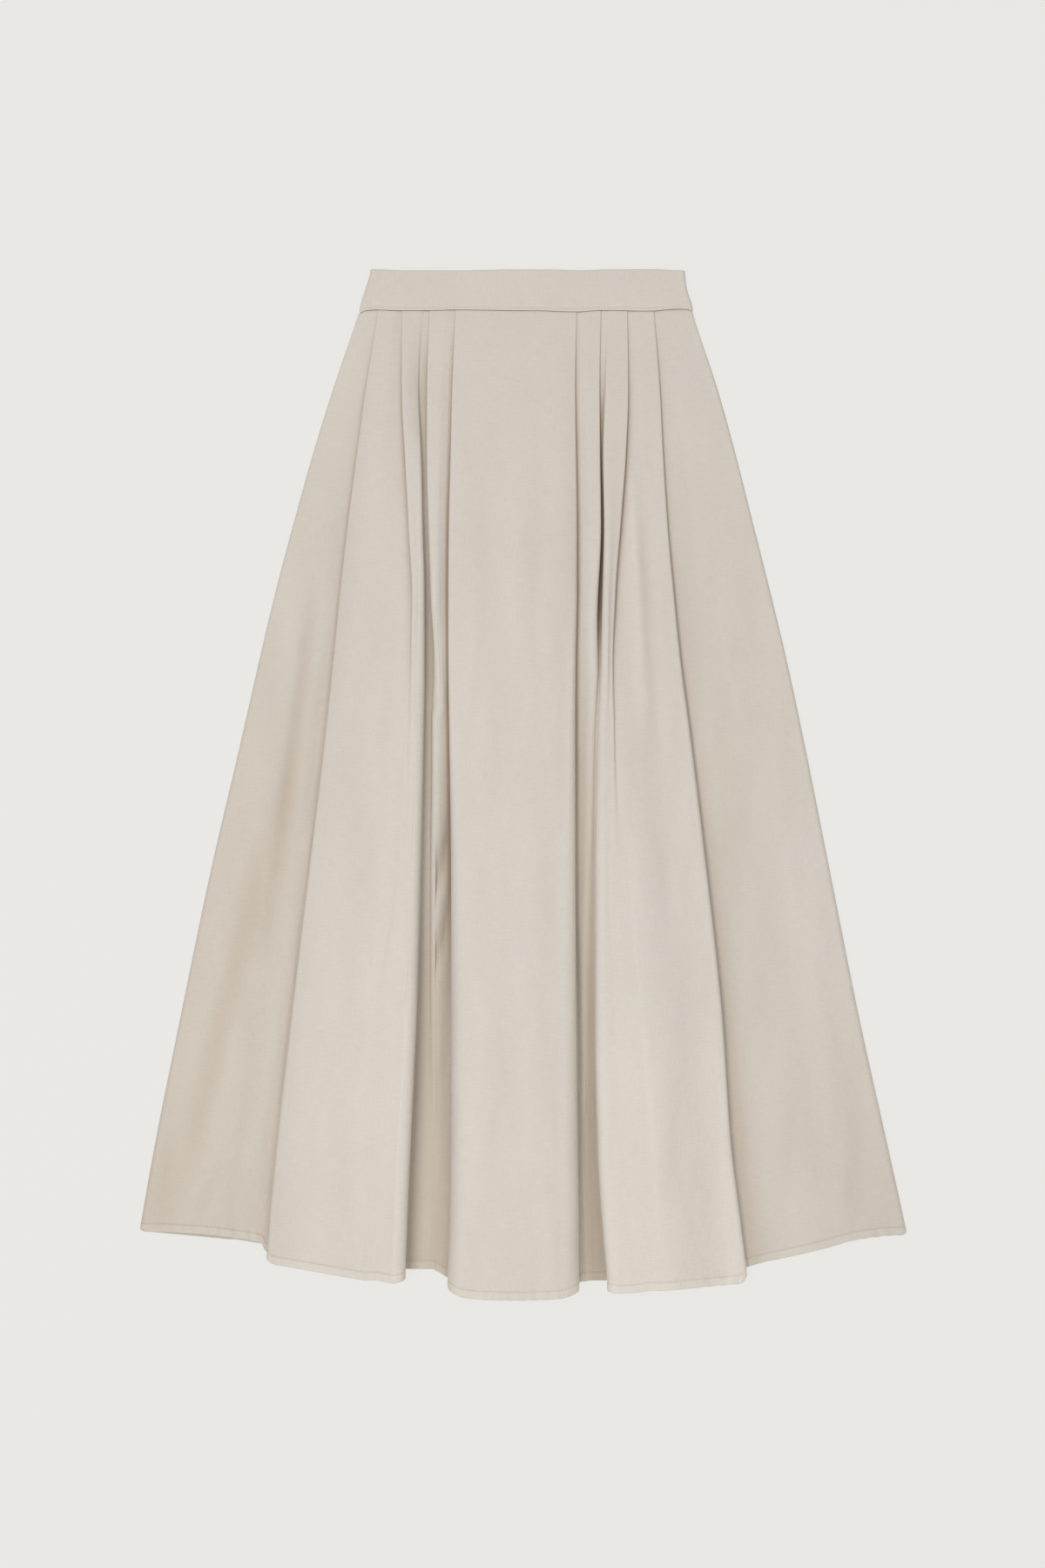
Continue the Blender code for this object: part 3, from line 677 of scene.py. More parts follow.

# Creases of the front. Depth above zero is a trough, below zero a ridge, and bend is how far its line bows
# aside.
CREASES = (
    # from x and drop, to x and drop, depth, width, bend
    (-204, 260, -262, 660, 3.7, 9),
    (-234, 440, -366, 955, 2.7, 12),
    (-288, 520, -370, 930, -0.6, 17, 6),
    (-197, 240, -222, 480, -1.2, 8),
    (-214, 480, -276, 900, -1.6, 10),
    (-256, 560, -334, 880, 0.9, 12),
    (-114, -20, -105, 140, 4, 6),
    (-352, 820, -372, 930, 1.6, 8),
    (-300, 850, -334, 935, 1.4, 7),
    (-330, 620, -372, 900, 0.7, 14),
    (152, 80, 176, 420, 0.9, 12, 3),
    (176, 260, 230, 620, 1.3, 17, 5),
    (214, 420, 292, 900, 1.4, 24, -6),
    (250, 420, 330, 880, -1.1, 24, 4),
    (300, 640, 352, 930, 0.9, 15),
    (326, 860, 340, 926, 0.8, 7),
    (108, 90, 137, 470, 2.6, 8, 3),
    (101, 80, 124, 430, -2.4, 7, 3),
    (130, 440, 146, 640, 0.7, 12, 3),
    (-156, 300, -176, 760, 0.8, 16, -3),
    (-196, 620, -222, 950, -0.8, 15, 2),
    (-176, 700, -188, 960, 0.8, 12, 2),
    (-140, 820, -150, 972, 0.7, 8),
    (-46, 500, -52, 970, -0.5, 15, 2),
    (-20, 700, -12, 980, 0.45, 17, 2),
    (24, 420, 32, 960, 0.7, 12, -2),
    (-34, 50, -46, 430, 0.9, 11),
    (-4, 70, -10, 400, -0.8, 10),
    (13, 90, 16, 440, 0.8, 9),
    (-58, 900, -40, 985, 0.7, 6),
    (44, 900, 34, 986, 0.7, 6),
    (-110, 120, -112, 330, 0.25, 5),
    (-62, 496, -106, 622, 4.4, 7.5, 2),
    (-72, 560, -102, 640, -0.7, 6),
    (-62, 580, -106, 692, 3.6, 6.5, 2),
    (-98, 900, -82, 960, 1, 4.5),
    (-112, 880, -90, 965, -0.8, 4),
    (60, 800, 74, 960, 0.8, 4),
)


def crease_height(x, y, x_from, drop_from, x_to, drop_to, depth, width, bend=0):
    """Height of one soft trough or ridge at points of the front."""
    start = np.array((x_from, SEAM_Y - drop_from))
    along = np.array((x_to, SEAM_Y - drop_to)) - start
    length = np.hypot(*along)
    along = along / length
    u = ((x - start[0]) * along[0] + (y - start[1]) * along[1]) / length
    bow = np.sin(np.pi * np.clip(u, 0, 1))
    aside = (x - start[0]) * -along[1] + (y - start[1]) * along[0] - bend * bow
    fade = np.where((u > 0) & (u < 1), bow**0.8, 0)
    return -depth * fade * np.exp(-((aside / width) ** 2))


RELIEF_WAVES = (
    # period across, period along, height, phase
    (61, 410, 0.36, 0.3),
    (37, 290, 0.26, 1.9),
    (23, 170, 0.14, 4.1),
    (15, 120, 0.08, 2.7),
)


def soft_relief(x, drop):
    """Faint uneven swells of cloth that has been pressed and worn."""
    total = np.zeros_like(x)
    for across, along, height, phase in RELIEF_WAVES:
        sway = 9 * np.sin(drop / (along * 0.31) + phase)
        down = np.cos(drop * 2 * np.pi / along + phase * 1.7)
        total += height * np.sin((x + sway) * 2 * np.pi / across + phase) * down
    return total


def smooth_along(values, times):
    """Evens out a row of numbers with its neighbours."""
    for _ in range(times):
        values = np.convolve(np.pad(values, 1, "edge"), (0.25, 0.5, 0.25), "valid")
    return values


def unit(vectors):
    return vectors / np.maximum(np.linalg.norm(vectors, axis=-1, keepdims=True), 1e-9)


def arc_lengths(grid):
    """Length along the cloth of each point from the middle column, row by row."""
    steps = np.linalg.norm(np.diff(grid, axis=1), axis=2)
    lengths = np.concatenate((np.zeros((len(grid), 1)), np.cumsum(steps, axis=1)), axis=1)
    middle = grid.shape[1] // 2
    return lengths - lengths[:, middle : middle + 1]


def waved(table, x):
    return np.array([table.at("rise", place) for place in x.ravel()]).reshape(x.shape)


def seam_rise(x, distance):
    """Rise of points near the waist seam, which follow the seam's wave."""
    return waved(SEAM_WAVE, x) * np.exp(-distance / 26)


CORNER_CUT = 1.7


def blunt_corners(grid, distance):
    """Rounds the hem's two corners at the side seams, where the turn-up is bulky."""
    for column, inward in ((0, CORNER_CUT), (-1, -CORNER_CUT)):
        aside = np.abs(grid[..., 0] - grid[:, [column], 0])
        grid[..., 0] += inward * np.exp(-((aside / 5) ** 2)) * np.exp(-distance / 2.2)
        grid[..., 1] += CORNER_CUT * np.exp(-aside / 2.4) * np.exp(-distance / 5)


def in_turn_up(distance, early, softness):
    """1 on the hem's turn-up and 0 above it."""
    return 0.5 - 0.5 * np.tanh((distance - HEM_BAND + early) / (2 * softness))


def hem_tone(distance):
    """The turn-up is a little lighter, and the cloth along its stitches is painted in shade, where their
    groove lies.
    """
    stitch = np.exp(-(((distance - HEM_BAND) / 0.8) ** 2))
    return 1 + 0.022 * in_turn_up(distance, 0.6, 0.4) - 0.06 * stitch


def hem_ripple(along, distance):
    """Small uneven ripples that the hem's stitches draw up, strongest at the edge."""
    wave = 0.34 * np.sin(along * 2 * np.pi / 14 + 2.1 * np.sin(along / 31))
    wave += 0.22 * np.sin(along * 2 * np.pi / 9 + 1.7 * np.sin(along / 17) + 1.3)
    return wave * (0.75 + 0.5 * np.sin(along / 47)) * np.exp(-((distance / 11) ** 2))


def rounded(u):
    """A quarter of a circle, from 0 to 1."""
    return np.sqrt(np.clip(1 - (1 - np.clip(u, 0, 1)) ** 2, 0, 1))


HALF_CLOTH = 0.24
EDGE_ROUND = 0.9


def hem_profile(distance):
    """How far the outer and inner faces lie from the middle, against the distance to the edge."""
    band = in_turn_up(distance, 0.2, 0.28)
    stitch = np.exp(-(((distance - HEM_BAND) / 0.9) ** 2))
    edge = 0.06 + 0.94 * rounded(distance / EDGE_ROUND)
    outer = HALF_CLOTH + 0.30 * band - 0.16 * stitch
    inner = HALF_CLOTH + 0.75 * band - 0.10 * stitch
    return outer * edge, inner * edge


def crown(grid, share):
    """Droop of the middle panel towards its edges, which grows towards the hem."""
    middle = grid.shape[1] // 2
    half = MIDDLE_STEPS // 2 + PLEAT_STEPS[4][-1]
    inside = slice(middle - half, middle + half + 1)
    x = grid[:, inside, 0]
    left, right = x[:, :1], x[:, -1:]
    across = np.abs((x - (left + right) / 2) / ((right - left) / 2))
    droop = np.zeros(grid.shape[:2])
    droop[:, inside] = -MIDDLE_DROOP * across**4 * ease(share * 2.2)
    return droop


def front_grid():
    """Middle surface of the front cloth, and how free each point is, its share, hem and painted shade and
    light.
    """
    drops = row_places(FRONT_ROW_STEP)
    rows, frees, hems, tones = [], [], [], []
    for drop in drops:
        share = drop / LONGEST_DROP
        left, right = front_half(LEFT, share), front_half(RIGHT, share)
        dip = LONGEST_DROP - MIDDLE_SHORT - (left[-1][2] + right[-1][2]) / 2
        x, z, hem, free, tone = joined(left, right, MIDDLE_STEPS, dip, 2.6).T
        # Painted shade on the middle panel towards its right edge, and painted light on the roll there.
        from_edge = RIGHT_LINES.at("pleat_4", share * RIGHT_HEM["over_4"]) - x
        lean = MIDDLE_SHADE.at("depth", drop) * np.exp(-np.maximum(from_edge, 0) / LEAN_REACH)
        lean -= MIDDLE_SHADE.at("lift", drop) * np.exp(-((from_edge / LIFT_REACH) ** 2))
        tone = tone * (1 - lean * (from_edge > -0.5) * (x > SHADE_FROM_X))
        z = FRONT_LEVEL + (z - FRONT_LEVEL) * OPENED.at("pressed", drop)
        ditch = SEAM_DITCH * math.exp(-drop / DITCH_REACH)
        rows.append(np.stack((x, SEAM_Y - share * hem - ditch, z), axis=1))
        frees.append(smooth_along(free, 3) * np.minimum(1, smooth_along(free, 8) * 1.1))
        hems.append(hem)
        # The waist seam is painted in shade.
        tones.append(smooth_along(tone, 1) * (1 - SEAM_SHADE * math.exp(-drop / SEAM_SHADE_REACH)))
    share = np.array(drops)[:, None] / LONGEST_DROP
    return np.array(rows), np.array(frees), share, np.array(hems), np.array(tones)


def front_sheet():
    """The front cloth, with its creases and swells, the waist seam's wave and the hem's ripples."""
    grid, free, share, hem, tone = front_grid()
    x, y, z = (grid[..., i] for i in range(3))
    drop, distance = share * hem, hem * (1 - share)
    relief = soft_relief(x, drop) * free * np.clip(share * 3.2, 0, 1) ** 1.3
    open_to = np.clip(free * 1.15, 0, 1) * np.clip(share * 4, 0, 1)
    for crease in CREASES:
        relief += crease_height(x, y, *crease) * open_to
    pucker = hem_ripple(arc_lengths(grid), distance) * free
    # Troughs and puckers are painted in shade and their ridges in painted light; the hem adds painted shade
    # along its stitches.
    tone = tone * (1 + TROUGH_PAINTED_SHADE * np.maximum(relief, DEEPEST) + PUCKER_PAINTED_SHADE * pucker)
    tone = tone * hem_tone(distance)
    relief = np.maximum(relief, -np.maximum(z - FRONT_LEVEL - TROUGH_CLEAR, 0))
    grid[..., 2] = z + relief + crown(grid, share) + pucker
    grid[..., 1] = y + seam_rise(x, drop) + 0.9 * pucker
    blunt_corners(grid, distance)
    lengths = arc_lengths(grid)
    return Sheet("front_cloth", grid, *hem_profile(distance), 1, (lengths, drop), (lengths, distance), tone)


def back_sheet():
    """The back cloth, whose outer face lies on the surface."""
    drops = row_places(BACK_ROW_STEP)
    rows, hems, frees = [], [], []
    for drop in drops:
        share = drop / LONGEST_DROP
        row = joined(back_half(LEFT, share), back_half(RIGHT, share), BACK_MIDDLE_STEPS)
        x, z, hem, free, _ = row.T
        rows.append(np.stack((x, SEAM_Y - share * hem, z), axis=1))
        hems.append(hem)
        frees.append(smooth_along(free, 4))
    grid, hem, free = np.array(rows), np.array(hems), np.array(frees)
    share = np.array(drops)[:, None] / LONGEST_DROP
    drop, distance = share * hem, hem * (1 - share)
    lift = np.clip(0.35 * soft_relief(-grid[..., 0] * 1.3, drop) + 0.12, 0, 0.6)
    grid[..., 2] += lift * free * np.clip(share * 4, 0, 1)
    grid[..., 1] += seam_rise(grid[..., 0], drop)
    blunt_corners(grid, distance)
    outer, inner = hem_profile(distance)
    outer = np.minimum(outer, BACK_LEVEL - 0.04)
    lengths = arc_lengths(grid)
    return Sheet("back_cloth", grid, outer, inner, -1, (lengths, drop), (lengths, distance))


BAND_ROWS = (0, 0.25, 0.6, 1.2, 2.4, 5, 9, 14, 19, 24, 29, 33, 36, 38.2, 39.6, 40.6, 41.6, 42.3, 42.7)
BAND_STITCH_ROW = 39.6
BAND_HALF = 0.9
BAND_STITCH = 3.0
BAND_STEPS = 96

# The most that the back half's outer face bulges, so that it stays clear of the surface.
BAND_BACK_MOST = 1.26


def band_sheet(name, level, side):
    """One half of the waistband: a flat stretch whose ends turn towards the other half."""
    height = BAND_TOP_Y - SEAM_Y
    rows = []
    for down in BAND_ROWS:
        share = down / height
        halves = []
        for end in ("left", "right"):
            reach = BAND_ENDS.at(end, down)
            half = Section(-reach, BAND_SEAM_Z, 0)
            half.straight(-reach, level - side * BAND_TURN, 0, 3)
            half.turn(BAND_TURN, side * math.pi / 2, 0, 0, 6)
            halves.append(half.points)
        x, z = joined(*halves, BAND_STEPS).T[:2]
        rise = waved(BAND_TOP_WAVE, x) * (1 - share) ** 2 + waved(SEAM_WAVE, x) * share**2
        rows.append(np.stack((x, BAND_TOP_Y - down + rise + SEAM_DITCH * share**8, z), axis=1))
    grid = np.array(rows)
    x = grid[..., 0]
    down = np.array(BAND_ROWS)[:, None] + np.zeros_like(x)
    up = height - down
    belly = 0.16 * np.sin(x / 37 + 0.8) * np.sin(np.pi * down / height)
    pucker = 0.10 * np.sin(x * 2 * np.pi / 6.1 + 1.4 * np.sin(x / 9)) * np.exp(-((up / 4.5) ** 2))
    groove = -0.30 * np.exp(-(((up - BAND_STITCH) / 0.7) ** 2))
    flat = np.array([smooth_along(row * 1.0, 2) for row in np.abs(grid[..., 2] - level) < 0.01])
    edge = 0.12 + 0.88 * rounded(np.minimum(down, up) / 1.1)
    outer = (BAND_HALF + (belly + pucker + groove) * flat) * edge
    if side < 0:
        outer = np.minimum(outer, BAND_BACK_MOST)
    return Sheet(name, grid, outer, BAND_HALF * edge, side, (down, arc_lengths(grid)))


def mesh_object(name, points, faces):
    """An object with smooth shading, from points in millimetres."""
    mesh = bpy.data.meshes.new(name)
    mesh.from_pydata((np.array(points) * MM).tolist(), [], faces)
    mesh.update()
    mesh.shade_smooth()
    made = bpy.data.objects.new(name, mesh)
    bpy.context.scene.collection.objects.link(made)
    return made


class Sheet:
    """A wall of cloth between an outer and an inner face, built from a grid.

    The grid's rows run down and its columns run right. Grain and edge are pairs of
    measures along the cloth that its weave and the puckers at its hem follow.
    """

    def __init__(self, name, grid, outer, inner, side, grain, edge=None, tone=None):
        across, down = np.gradient(grid, axis=1), np.gradient(grid, axis=0)
        normals = unit(np.cross(across, -down)) * side
        self.name = name
        self.outer = grid + normals * outer[..., None]
        self.inner = grid - normals * inner[..., None]
        self.side = side
        self.layers = {"grain": grain, "edge": edge}
        self.tone = np.ones(grid.shape[:2]) if tone is None else tone

    def build(self):
        rows, columns, _ = self.outer.shape
        count = rows * columns
        points = np.concatenate((self.outer.reshape(-1, 3), self.inner.reshape(-1, 3)))
        index = np.arange(count).reshape(rows, columns)
        top, low = index[:-1], index[1:]
        face = np.stack((low[:, :-1], low[:, 1:], top[:, 1:], top[:, :-1]), axis=-1).reshape(-1, 4)
        faces = [face, face[:, ::-1] + count]
        for rim in (index[0], index[-1][::-1], index[::-1, 0], index[:, -1]):
            faces.append(np.stack((rim[:-1], rim[1:], rim[1:] + count, rim[:-1] + count), axis=-1))
        faces = np.concatenate(faces)
        if self.side < 0:
            faces = faces[:, ::-1]
        made = mesh_object(self.name, points, faces.tolist())
        mesh = made.data
        corners = np.empty(len(mesh.loops), np.int32)
        mesh.loops.foreach_get("vertex_index", corners)
        for name, measures in self.layers.items():
            if measures is not None:
                both = np.tile(np.stack(measures, axis=-1).reshape(-1, 2), (2, 1)) * MM
                layer = mesh.uv_layers.new(name=name)
                layer.data.foreach_set("uv", both[corners].ravel().astype(np.float32))
        # The painted shade and light go to both faces, the inner one deeper.
        shades = np.concatenate((self.tone.ravel(), self.tone.ravel() * INSIDE_TONE))
        layer = mesh.attributes.new("tone", "FLOAT", "POINT")
        layer.data.foreach_set("value", shades.astype(np.float32))
        mesh.set_sharp_from_angle(angle=math.radians(70))
        return made


STITCH_SIDES = 6
STITCH_RINGS = 5
HEM_STITCH_SINK = 0.16
BAND_STITCH_SINK = 0.18
FRONT_THREAD = 0.34
BACK_THREAD = 0.30
BAND_THREAD = 0.34


def stitch_row(name, sheet, row, settings, thickness, sink):
    """Stitches along one row of a sheet's outer face, each a short thread that dips at its ends."""
    path = sheet.outer[row, 2:-2]
    normals = path - sheet.inner[row, 2:-2]
    place = np.concatenate(([0], np.cumsum(np.linalg.norm(np.diff(path, axis=0), axis=1))))
    length, gap = settings.stitch_length, settings.stitch_gap
    count = int((place[-1] - gap) / (length + gap))
    u = np.linspace(0, 1, STITCH_RINGS)
    at = (gap / 2 + np.arange(count) * (length + gap))[:, None] + length * u

    def along_row(values, at):
        return np.stack([np.interp(at, place, values[:, i]) for i in range(3)], axis=-1)

    up = unit(along_row(normals, at))
    aside = np.cross(unit(along_row(path, at + 0.4) - along_row(path, at - 0.4)), up)
    swell = np.sin(np.pi * u)[:, None]
    fat = thickness / 2 * (0.55 + 0.45 * swell)
    turn = 2 * np.pi * np.arange(STITCH_SIDES) / STITCH_SIDES
    lift = fat * np.sin(turn) + sink * (np.sqrt(swell) - 1) + thickness * 0.22
    width = fat * np.cos(turn) * 1.25
    points = along_row(path, at)[:, :, None] + up[:, :, None] * lift[..., None]
    points = points + aside[:, :, None] * width[..., None]

    corner = np.arange(STITCH_SIDES)
    rings = np.arange(count * STITCH_RINGS).reshape(count, -1, 1) * STITCH_SIDES
    one, two = rings[:, :-1] + corner, rings[:, :-1] + (corner + 1) % STITCH_SIDES
    walls = np.stack((one, two, two + STITCH_SIDES, one + STITCH_SIDES), axis=-1).reshape(-1, 4)
    ends = np.concatenate((rings[:, 0] + corner[::-1], rings[:, -1] + corner))
    return mesh_object(name, points.reshape(-1, 3), walls.tolist() + ends.tolist())


BOX_FACES = ((0, 1, 3, 2), (4, 6, 7, 5), (0, 4, 5, 1), (2, 3, 7, 6), (0, 2, 6, 4), (1, 5, 7, 3))


def boxes(name, places, bevel):
    """Boxes with softened edges, each from its centre and its size."""
    signs = np.array([(a, b, c) for a in (-1, 1) for b in (-1, 1) for c in (-1, 1)])
    points = np.concatenate([np.array(centre) + signs * np.array(size) / 2 for centre, size in places])
    faces = np.arange(len(places))[:, None, None] * 8 + np.array(BOX_FACES)
    made = mesh_object(name, points, faces.reshape(-1, 4).tolist())
    softened = made.modifiers.new("rounded", "BEVEL")
    softened.width = bevel * MM
    softened.segments = 2
    return made


class Nodes:
    """Short ways to add and join shader nodes."""

    def __init__(self, name):
        self.material = bpy.data.materials.new(name)
        self.material.use_nodes = True
        self.tree = self.material.node_tree

    def give(self, socket, value):
        """Links an output to a socket, or sets its value."""
        if isinstance(value, bpy.types.NodeSocket):
            self.tree.links.new(value, socket)
        elif socket.type == "RGBA":
            socket.default_value = (*value, 1.0)
        else:
            socket.default_value = value

    def add(self, kind, inputs, output, **values):
        """Adds a node and gives back one of its outputs."""
        node = self.tree.nodes.new(kind)
        for key, value in values.items():
            setattr(node, key, value)
        for key, value in inputs.items():
            self.give(node.inputs[key], value)
        return node.outputs[output]

    def finish(self, **sockets):
        """Sets the shader's sockets, and gives back the material."""
        for key, value in sockets.items():
            self.give(self.tree.nodes["Principled BSDF"].inputs[key.replace("_", " ")], value)
        return self.material

    def uv(self, name):
        return self.add("ShaderNodeUVMap", {}, "UV", uv_map=name)

    def place(self):
        return self.add("ShaderNodeTexCoord", {}, "Object")

    def part(self, vector, axis):
        return self.add("ShaderNodeSeparateXYZ", {0: vector}, axis)

    def math(self, operation, first, second=0.0):
        return self.add("ShaderNodeMath", {0: first, 1: second}, 0, operation=operation)

    def times(self, first, second):
        inputs = {0: 1.0, 6: first, 7: second}
        return self.add("ShaderNodeMix", inputs, 2, data_type="RGBA", blend_type="MULTIPLY")

    def mapped(self, source, scale, location=(0, 0, 0)):
        inputs = {"Vector": source, "Scale": scale, "Location": location}
        return self.add("ShaderNodeMapping", inputs, "Vector")

    def noise(self, vector, scale, detail=2.0, roughness=0.5):
        inputs = {"Vector": vector, "Scale": scale, "Detail": detail, "Roughness": roughness}
        return self.add("ShaderNodeTexNoise", inputs, "Fac")

    def ramp(self, factor, *stops):
        colour = self.add("ShaderNodeValToRGB", {"Fac": factor}, "Color")
        elements = colour.node.color_ramp.elements
        while len(elements) < len(stops):
            elements.new(0.5)
        for element, (place, shown) in zip(elements, stops):
            element.position = place
            element.color = (*shown, 1.0)
        return colour

    def bump(self, height, strength, distance, normal=None):
        inputs = {"Strength": strength, "Distance": distance, "Height": height}
        if normal is not None:
            inputs["Normal"] = normal
        return self.add("ShaderNodeBump", inputs, "Normal")


def shade(colour, factor):
    return tuple(channel * factor for channel in colour)


def grey(level):
    return (level,) * 3


THREADS_A_METRE = 1700


def weave_heights(nodes, grain):
    """Heights of a fine twill: warp and weft threads, and the diagonal that they make."""
    warp, weft = (
        nodes.math("MULTIPLY", nodes.part(grain, axis), THREADS_A_METRE * 2 * math.pi) for axis in "XY"
    )
    diagonal = nodes.math("MULTIPLY", nodes.math("ADD", warp, weft), 0.5)
    total = 0.0
    for wave, height in ((warp, 0.30), (weft, 0.24), (diagonal, 0.42)):
        total = nodes.math("ADD", total, nodes.math("MULTIPLY", nodes.math("SINE", wave), height))
    return total


def hem_puckers(nodes):
    """Short ripples that the hem's stitches pull into the cloth on both sides of them."""
    edge = nodes.uv("edge")
    ripple = nodes.noise(nodes.mapped(edge, (170, 45, 1)), 1, 2, 0.6)
    away = nodes.math("SUBTRACT", nodes.part(edge, "Y"), (HEM_BAND - 1.5) * MM)
    near = nodes.math("DIVIDE", away, 6.5 * MM)
    squared = nodes.math("MULTIPLY", near, near)
    fade = nodes.math("POWER", 2.718, nodes.math("MULTIPLY", squared, -1.0))
    return nodes.math("MULTIPLY", ripple, fade)


# Colour that the painted shading multiplies the cloth by: the deeper the painted shade, the warmer.
PAINTED_SHADE_COLOURS = (
    (0.30, (0.24, 0.20, 0.155)),
    (0.50, (0.42, 0.36, 0.29)),
    (0.70, (0.64, 0.58, 0.50)),
    (0.78, (0.731, 0.680, 0.617)),
    (0.86, (0.826, 0.786, 0.737)),
    (0.92, (0.900, 0.878, 0.851)),
    (1.0, grey(1)),
)


def cotton(name, colour, edge=False, stiff=False):
    """Matt woven cotton: weave, slubs, faint mottling, the puckers beside a stitched hem, and the painted
    shade and painted light that its mesh carries.
    """
    nodes = Nodes(name)
    grain, place = nodes.uv("grain"), nodes.place()
    slub_down = nodes.noise(nodes.mapped(grain, (1100, 80, 1)), 1, 3, 0.6)
    slub_across = nodes.noise(nodes.mapped(grain, (70, 1200, 1), (5, 9, 0)), 1, 3, 0.6)
    fleck = nodes.noise(nodes.mapped(grain, (1500, 1500, 1)), 1, 2, 0.7)
    cloud = nodes.noise(place, 9, 4, 0.55)
    wash = nodes.noise(place, 2.6)
    crumple = nodes.noise(nodes.mapped(place, (42, 30, 42)), 1, 6, 0.6)
    tone = nodes.add("ShaderNodeAttribute", {}, "Fac", attribute_name="tone")
    shown = nodes.ramp(slub_down, (0.3, shade(colour, 0.972)), (0.5, colour), (0.7, shade(colour, 1.024)))
    # The last two layers are the painted shading: painted shade below 1, warmer as it deepens, and painted
    # light above 1.
    layers = (
        nodes.ramp(slub_across, (0.3, grey(0.962)), (0.5, grey(1)), (0.7, grey(1.034))),
        nodes.ramp(fleck, (0.25, grey(0.965)), (0.75, grey(1.03))),
        nodes.ramp(cloud, (0.3, (0.978, 0.976, 0.973)), (0.7, (1.018, 1.018, 1.02))),
        nodes.ramp(wash, (0.3, (1.006, 0.998, 0.992)), (0.7, (0.994, 1.002, 1.008))),
        nodes.ramp(tone, *PAINTED_SHADE_COLOURS),
        nodes.math("MAXIMUM", tone, 1.0),
    )
    for layer in layers:
        shown = nodes.times(shown, layer)
    normal = nodes.bump(weave_heights(nodes, grain), 0.35, 0.00012)
    normal = nodes.bump(slub_down, 0.14, 0.0002, normal)
    normal = nodes.bump(slub_across, 0.14, 0.0002, normal)
    normal = nodes.bump(crumple, 0.25 if stiff else 0.6, 0.0022, normal)
    if edge:
        normal = nodes.bump(hem_puckers(nodes), 0.8, 0.0009, normal)
    rough = nodes.add("ShaderNodeMapRange", {"Value": cloud, "To Min": 0.82, "To Max": 0.92}, "Result")
    return nodes.finish(
        Base_Color=shown,
        Roughness=rough,
        Normal=normal,
        Specular_IOR_Level=0.25,
        Sheen_Weight=0.10,
        Sheen_Roughness=0.45,
        Sheen_Tint=shade(colour, 1.2),
    )


def mottled(name, colour, scale, detail, low, high, strength, **sockets):
    """A finish whose colour and surface follow one fine noise."""
    nodes = Nodes(name)
    noise = nodes.noise(nodes.mapped(nodes.place(), scale), 1, detail)
    shown = nodes.ramp(noise, (0.3, shade(colour, low)), (0.7, shade(colour, high)))
    return nodes.finish(Base_Color=shown, Normal=nodes.bump(noise, strength, 0.0001), **sockets)


def thread(name, colour):
    """Spun sewing thread."""
    looks = {"Roughness": 0.55, "Sheen_Weight": 0.15, "Specular_IOR_Level": 0.4}
    return mottled(name, colour, (2600, 5200, 2600), 1, 0.88, 1.06, 0.5, **looks)


def moulded(name, colour, roughness):
    """Plastic with faint mottling, for the zip's coil and slider."""
    return mottled(
        name, colour, (900, 900, 900), 2, 0.94, 1.04, 0.2, Roughness=roughness, Specular_IOR_Level=0.5
    )


class ClothSettings(bpy.types.PropertyGroup):
    """Looks of the skirt's cloth."""

    colour: FloatVectorProperty(
        name="Cloth colour",
        description="Linear base colour of the cotton",
        subtype="COLOR",
        default=(0.6235, 0.5815, 0.5275),
    )
    thread_colour: FloatVectorProperty(
        name="Thread colour",
        description="Linear base colour of the sewing thread",
        subtype="COLOR",
        default=(0.51, 0.46, 0.39),
    )
    stitch_length: FloatProperty(
        name="Stitch length", description="Length of one stitch, in millimetres", default=2.3, min=1
    )
    stitch_gap: FloatProperty(
        name="Stitch gap", description="Space between two stitches, in millimetres", default=0.7, min=0.2
    )


class StageSettings(bpy.types.PropertyGroup):
    """Floor, lights and camera."""

    floor_colour: FloatVectorProperty(
        name="Floor colour",
        description="Linear colour of the pale floor",
        subtype="COLOR",
        default=(0.8130, 0.8045, 0.774),
    )
    floor_glow: FloatProperty(
        name="Floor glow", description="Share of the floor's brightness that is its own light", default=0.94
    )
    camera_height: FloatProperty(
        name="Camera height", description="Height of the camera above the floor", default=4, unit="LENGTH"
    )
    frame_width: FloatProperty(
        name="Frame width", description="Width of floor that the camera sees", default=1.0586, unit="LENGTH"
    )
    sky: FloatProperty(
        name="Sky light", description="Strength of the even light from all round", default=0.45, min=0
    )
    key: FloatProperty(
        name="Key light", description="Power of the large soft light", default=46, unit="POWER"
    )


def finish_piece(piece, material, *nodes, slot="skirt_cloth"):
    """Gives a piece its material, makes it ride, and hides the nodes it replaces."""
    piece.data.materials.append(material)
    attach(piece, "root")
    if nodes:
        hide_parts(*nodes)
    return piece


def dress_panel(settings, side, sheet, node, thickness):
    """Adds one panel's cloth and its hem's stitches, and gives back the cloth."""
    cloth = cotton(side + "_cotton", tuple(settings.colour), edge=True)
    piece = finish_piece(sheet.build(), cloth, node)
    row = len(sheet.outer) - 1 - NEAR_HEM.index(HEM_BAND)
    stitches = stitch_row(side + "_hem_stitches", sheet, row, settings, thickness, HEM_STITCH_SINK)
    finish_piece(stitches, thread(side + "_hem_thread", tuple(settings.thread_colour)))
    return piece


class SKIRT_OT_front(bpy.types.Operator):
    """Add the front cloth with its hem and the hem's stitches"""

    bl_idname = "skirt.front"
    bl_label = "Front Cloth"

    def execute(self, context):
        piece = dress_panel(context.scene.skirt_cloth, "front", front_sheet(), "front_panel", FRONT_THREAD)
        return {"FINISHED"}


class SKIRT_OT_back(bpy.types.Operator):
    """Add the back cloth with its hem and the hem's stitches"""

    bl_idname = "skirt.back"
    bl_label = "Back Cloth"

    def execute(self, context):
        piece = dress_panel(context.scene.skirt_cloth, "back", back_sheet(), "back_panel", BACK_THREAD)
        return {"FINISHED"}


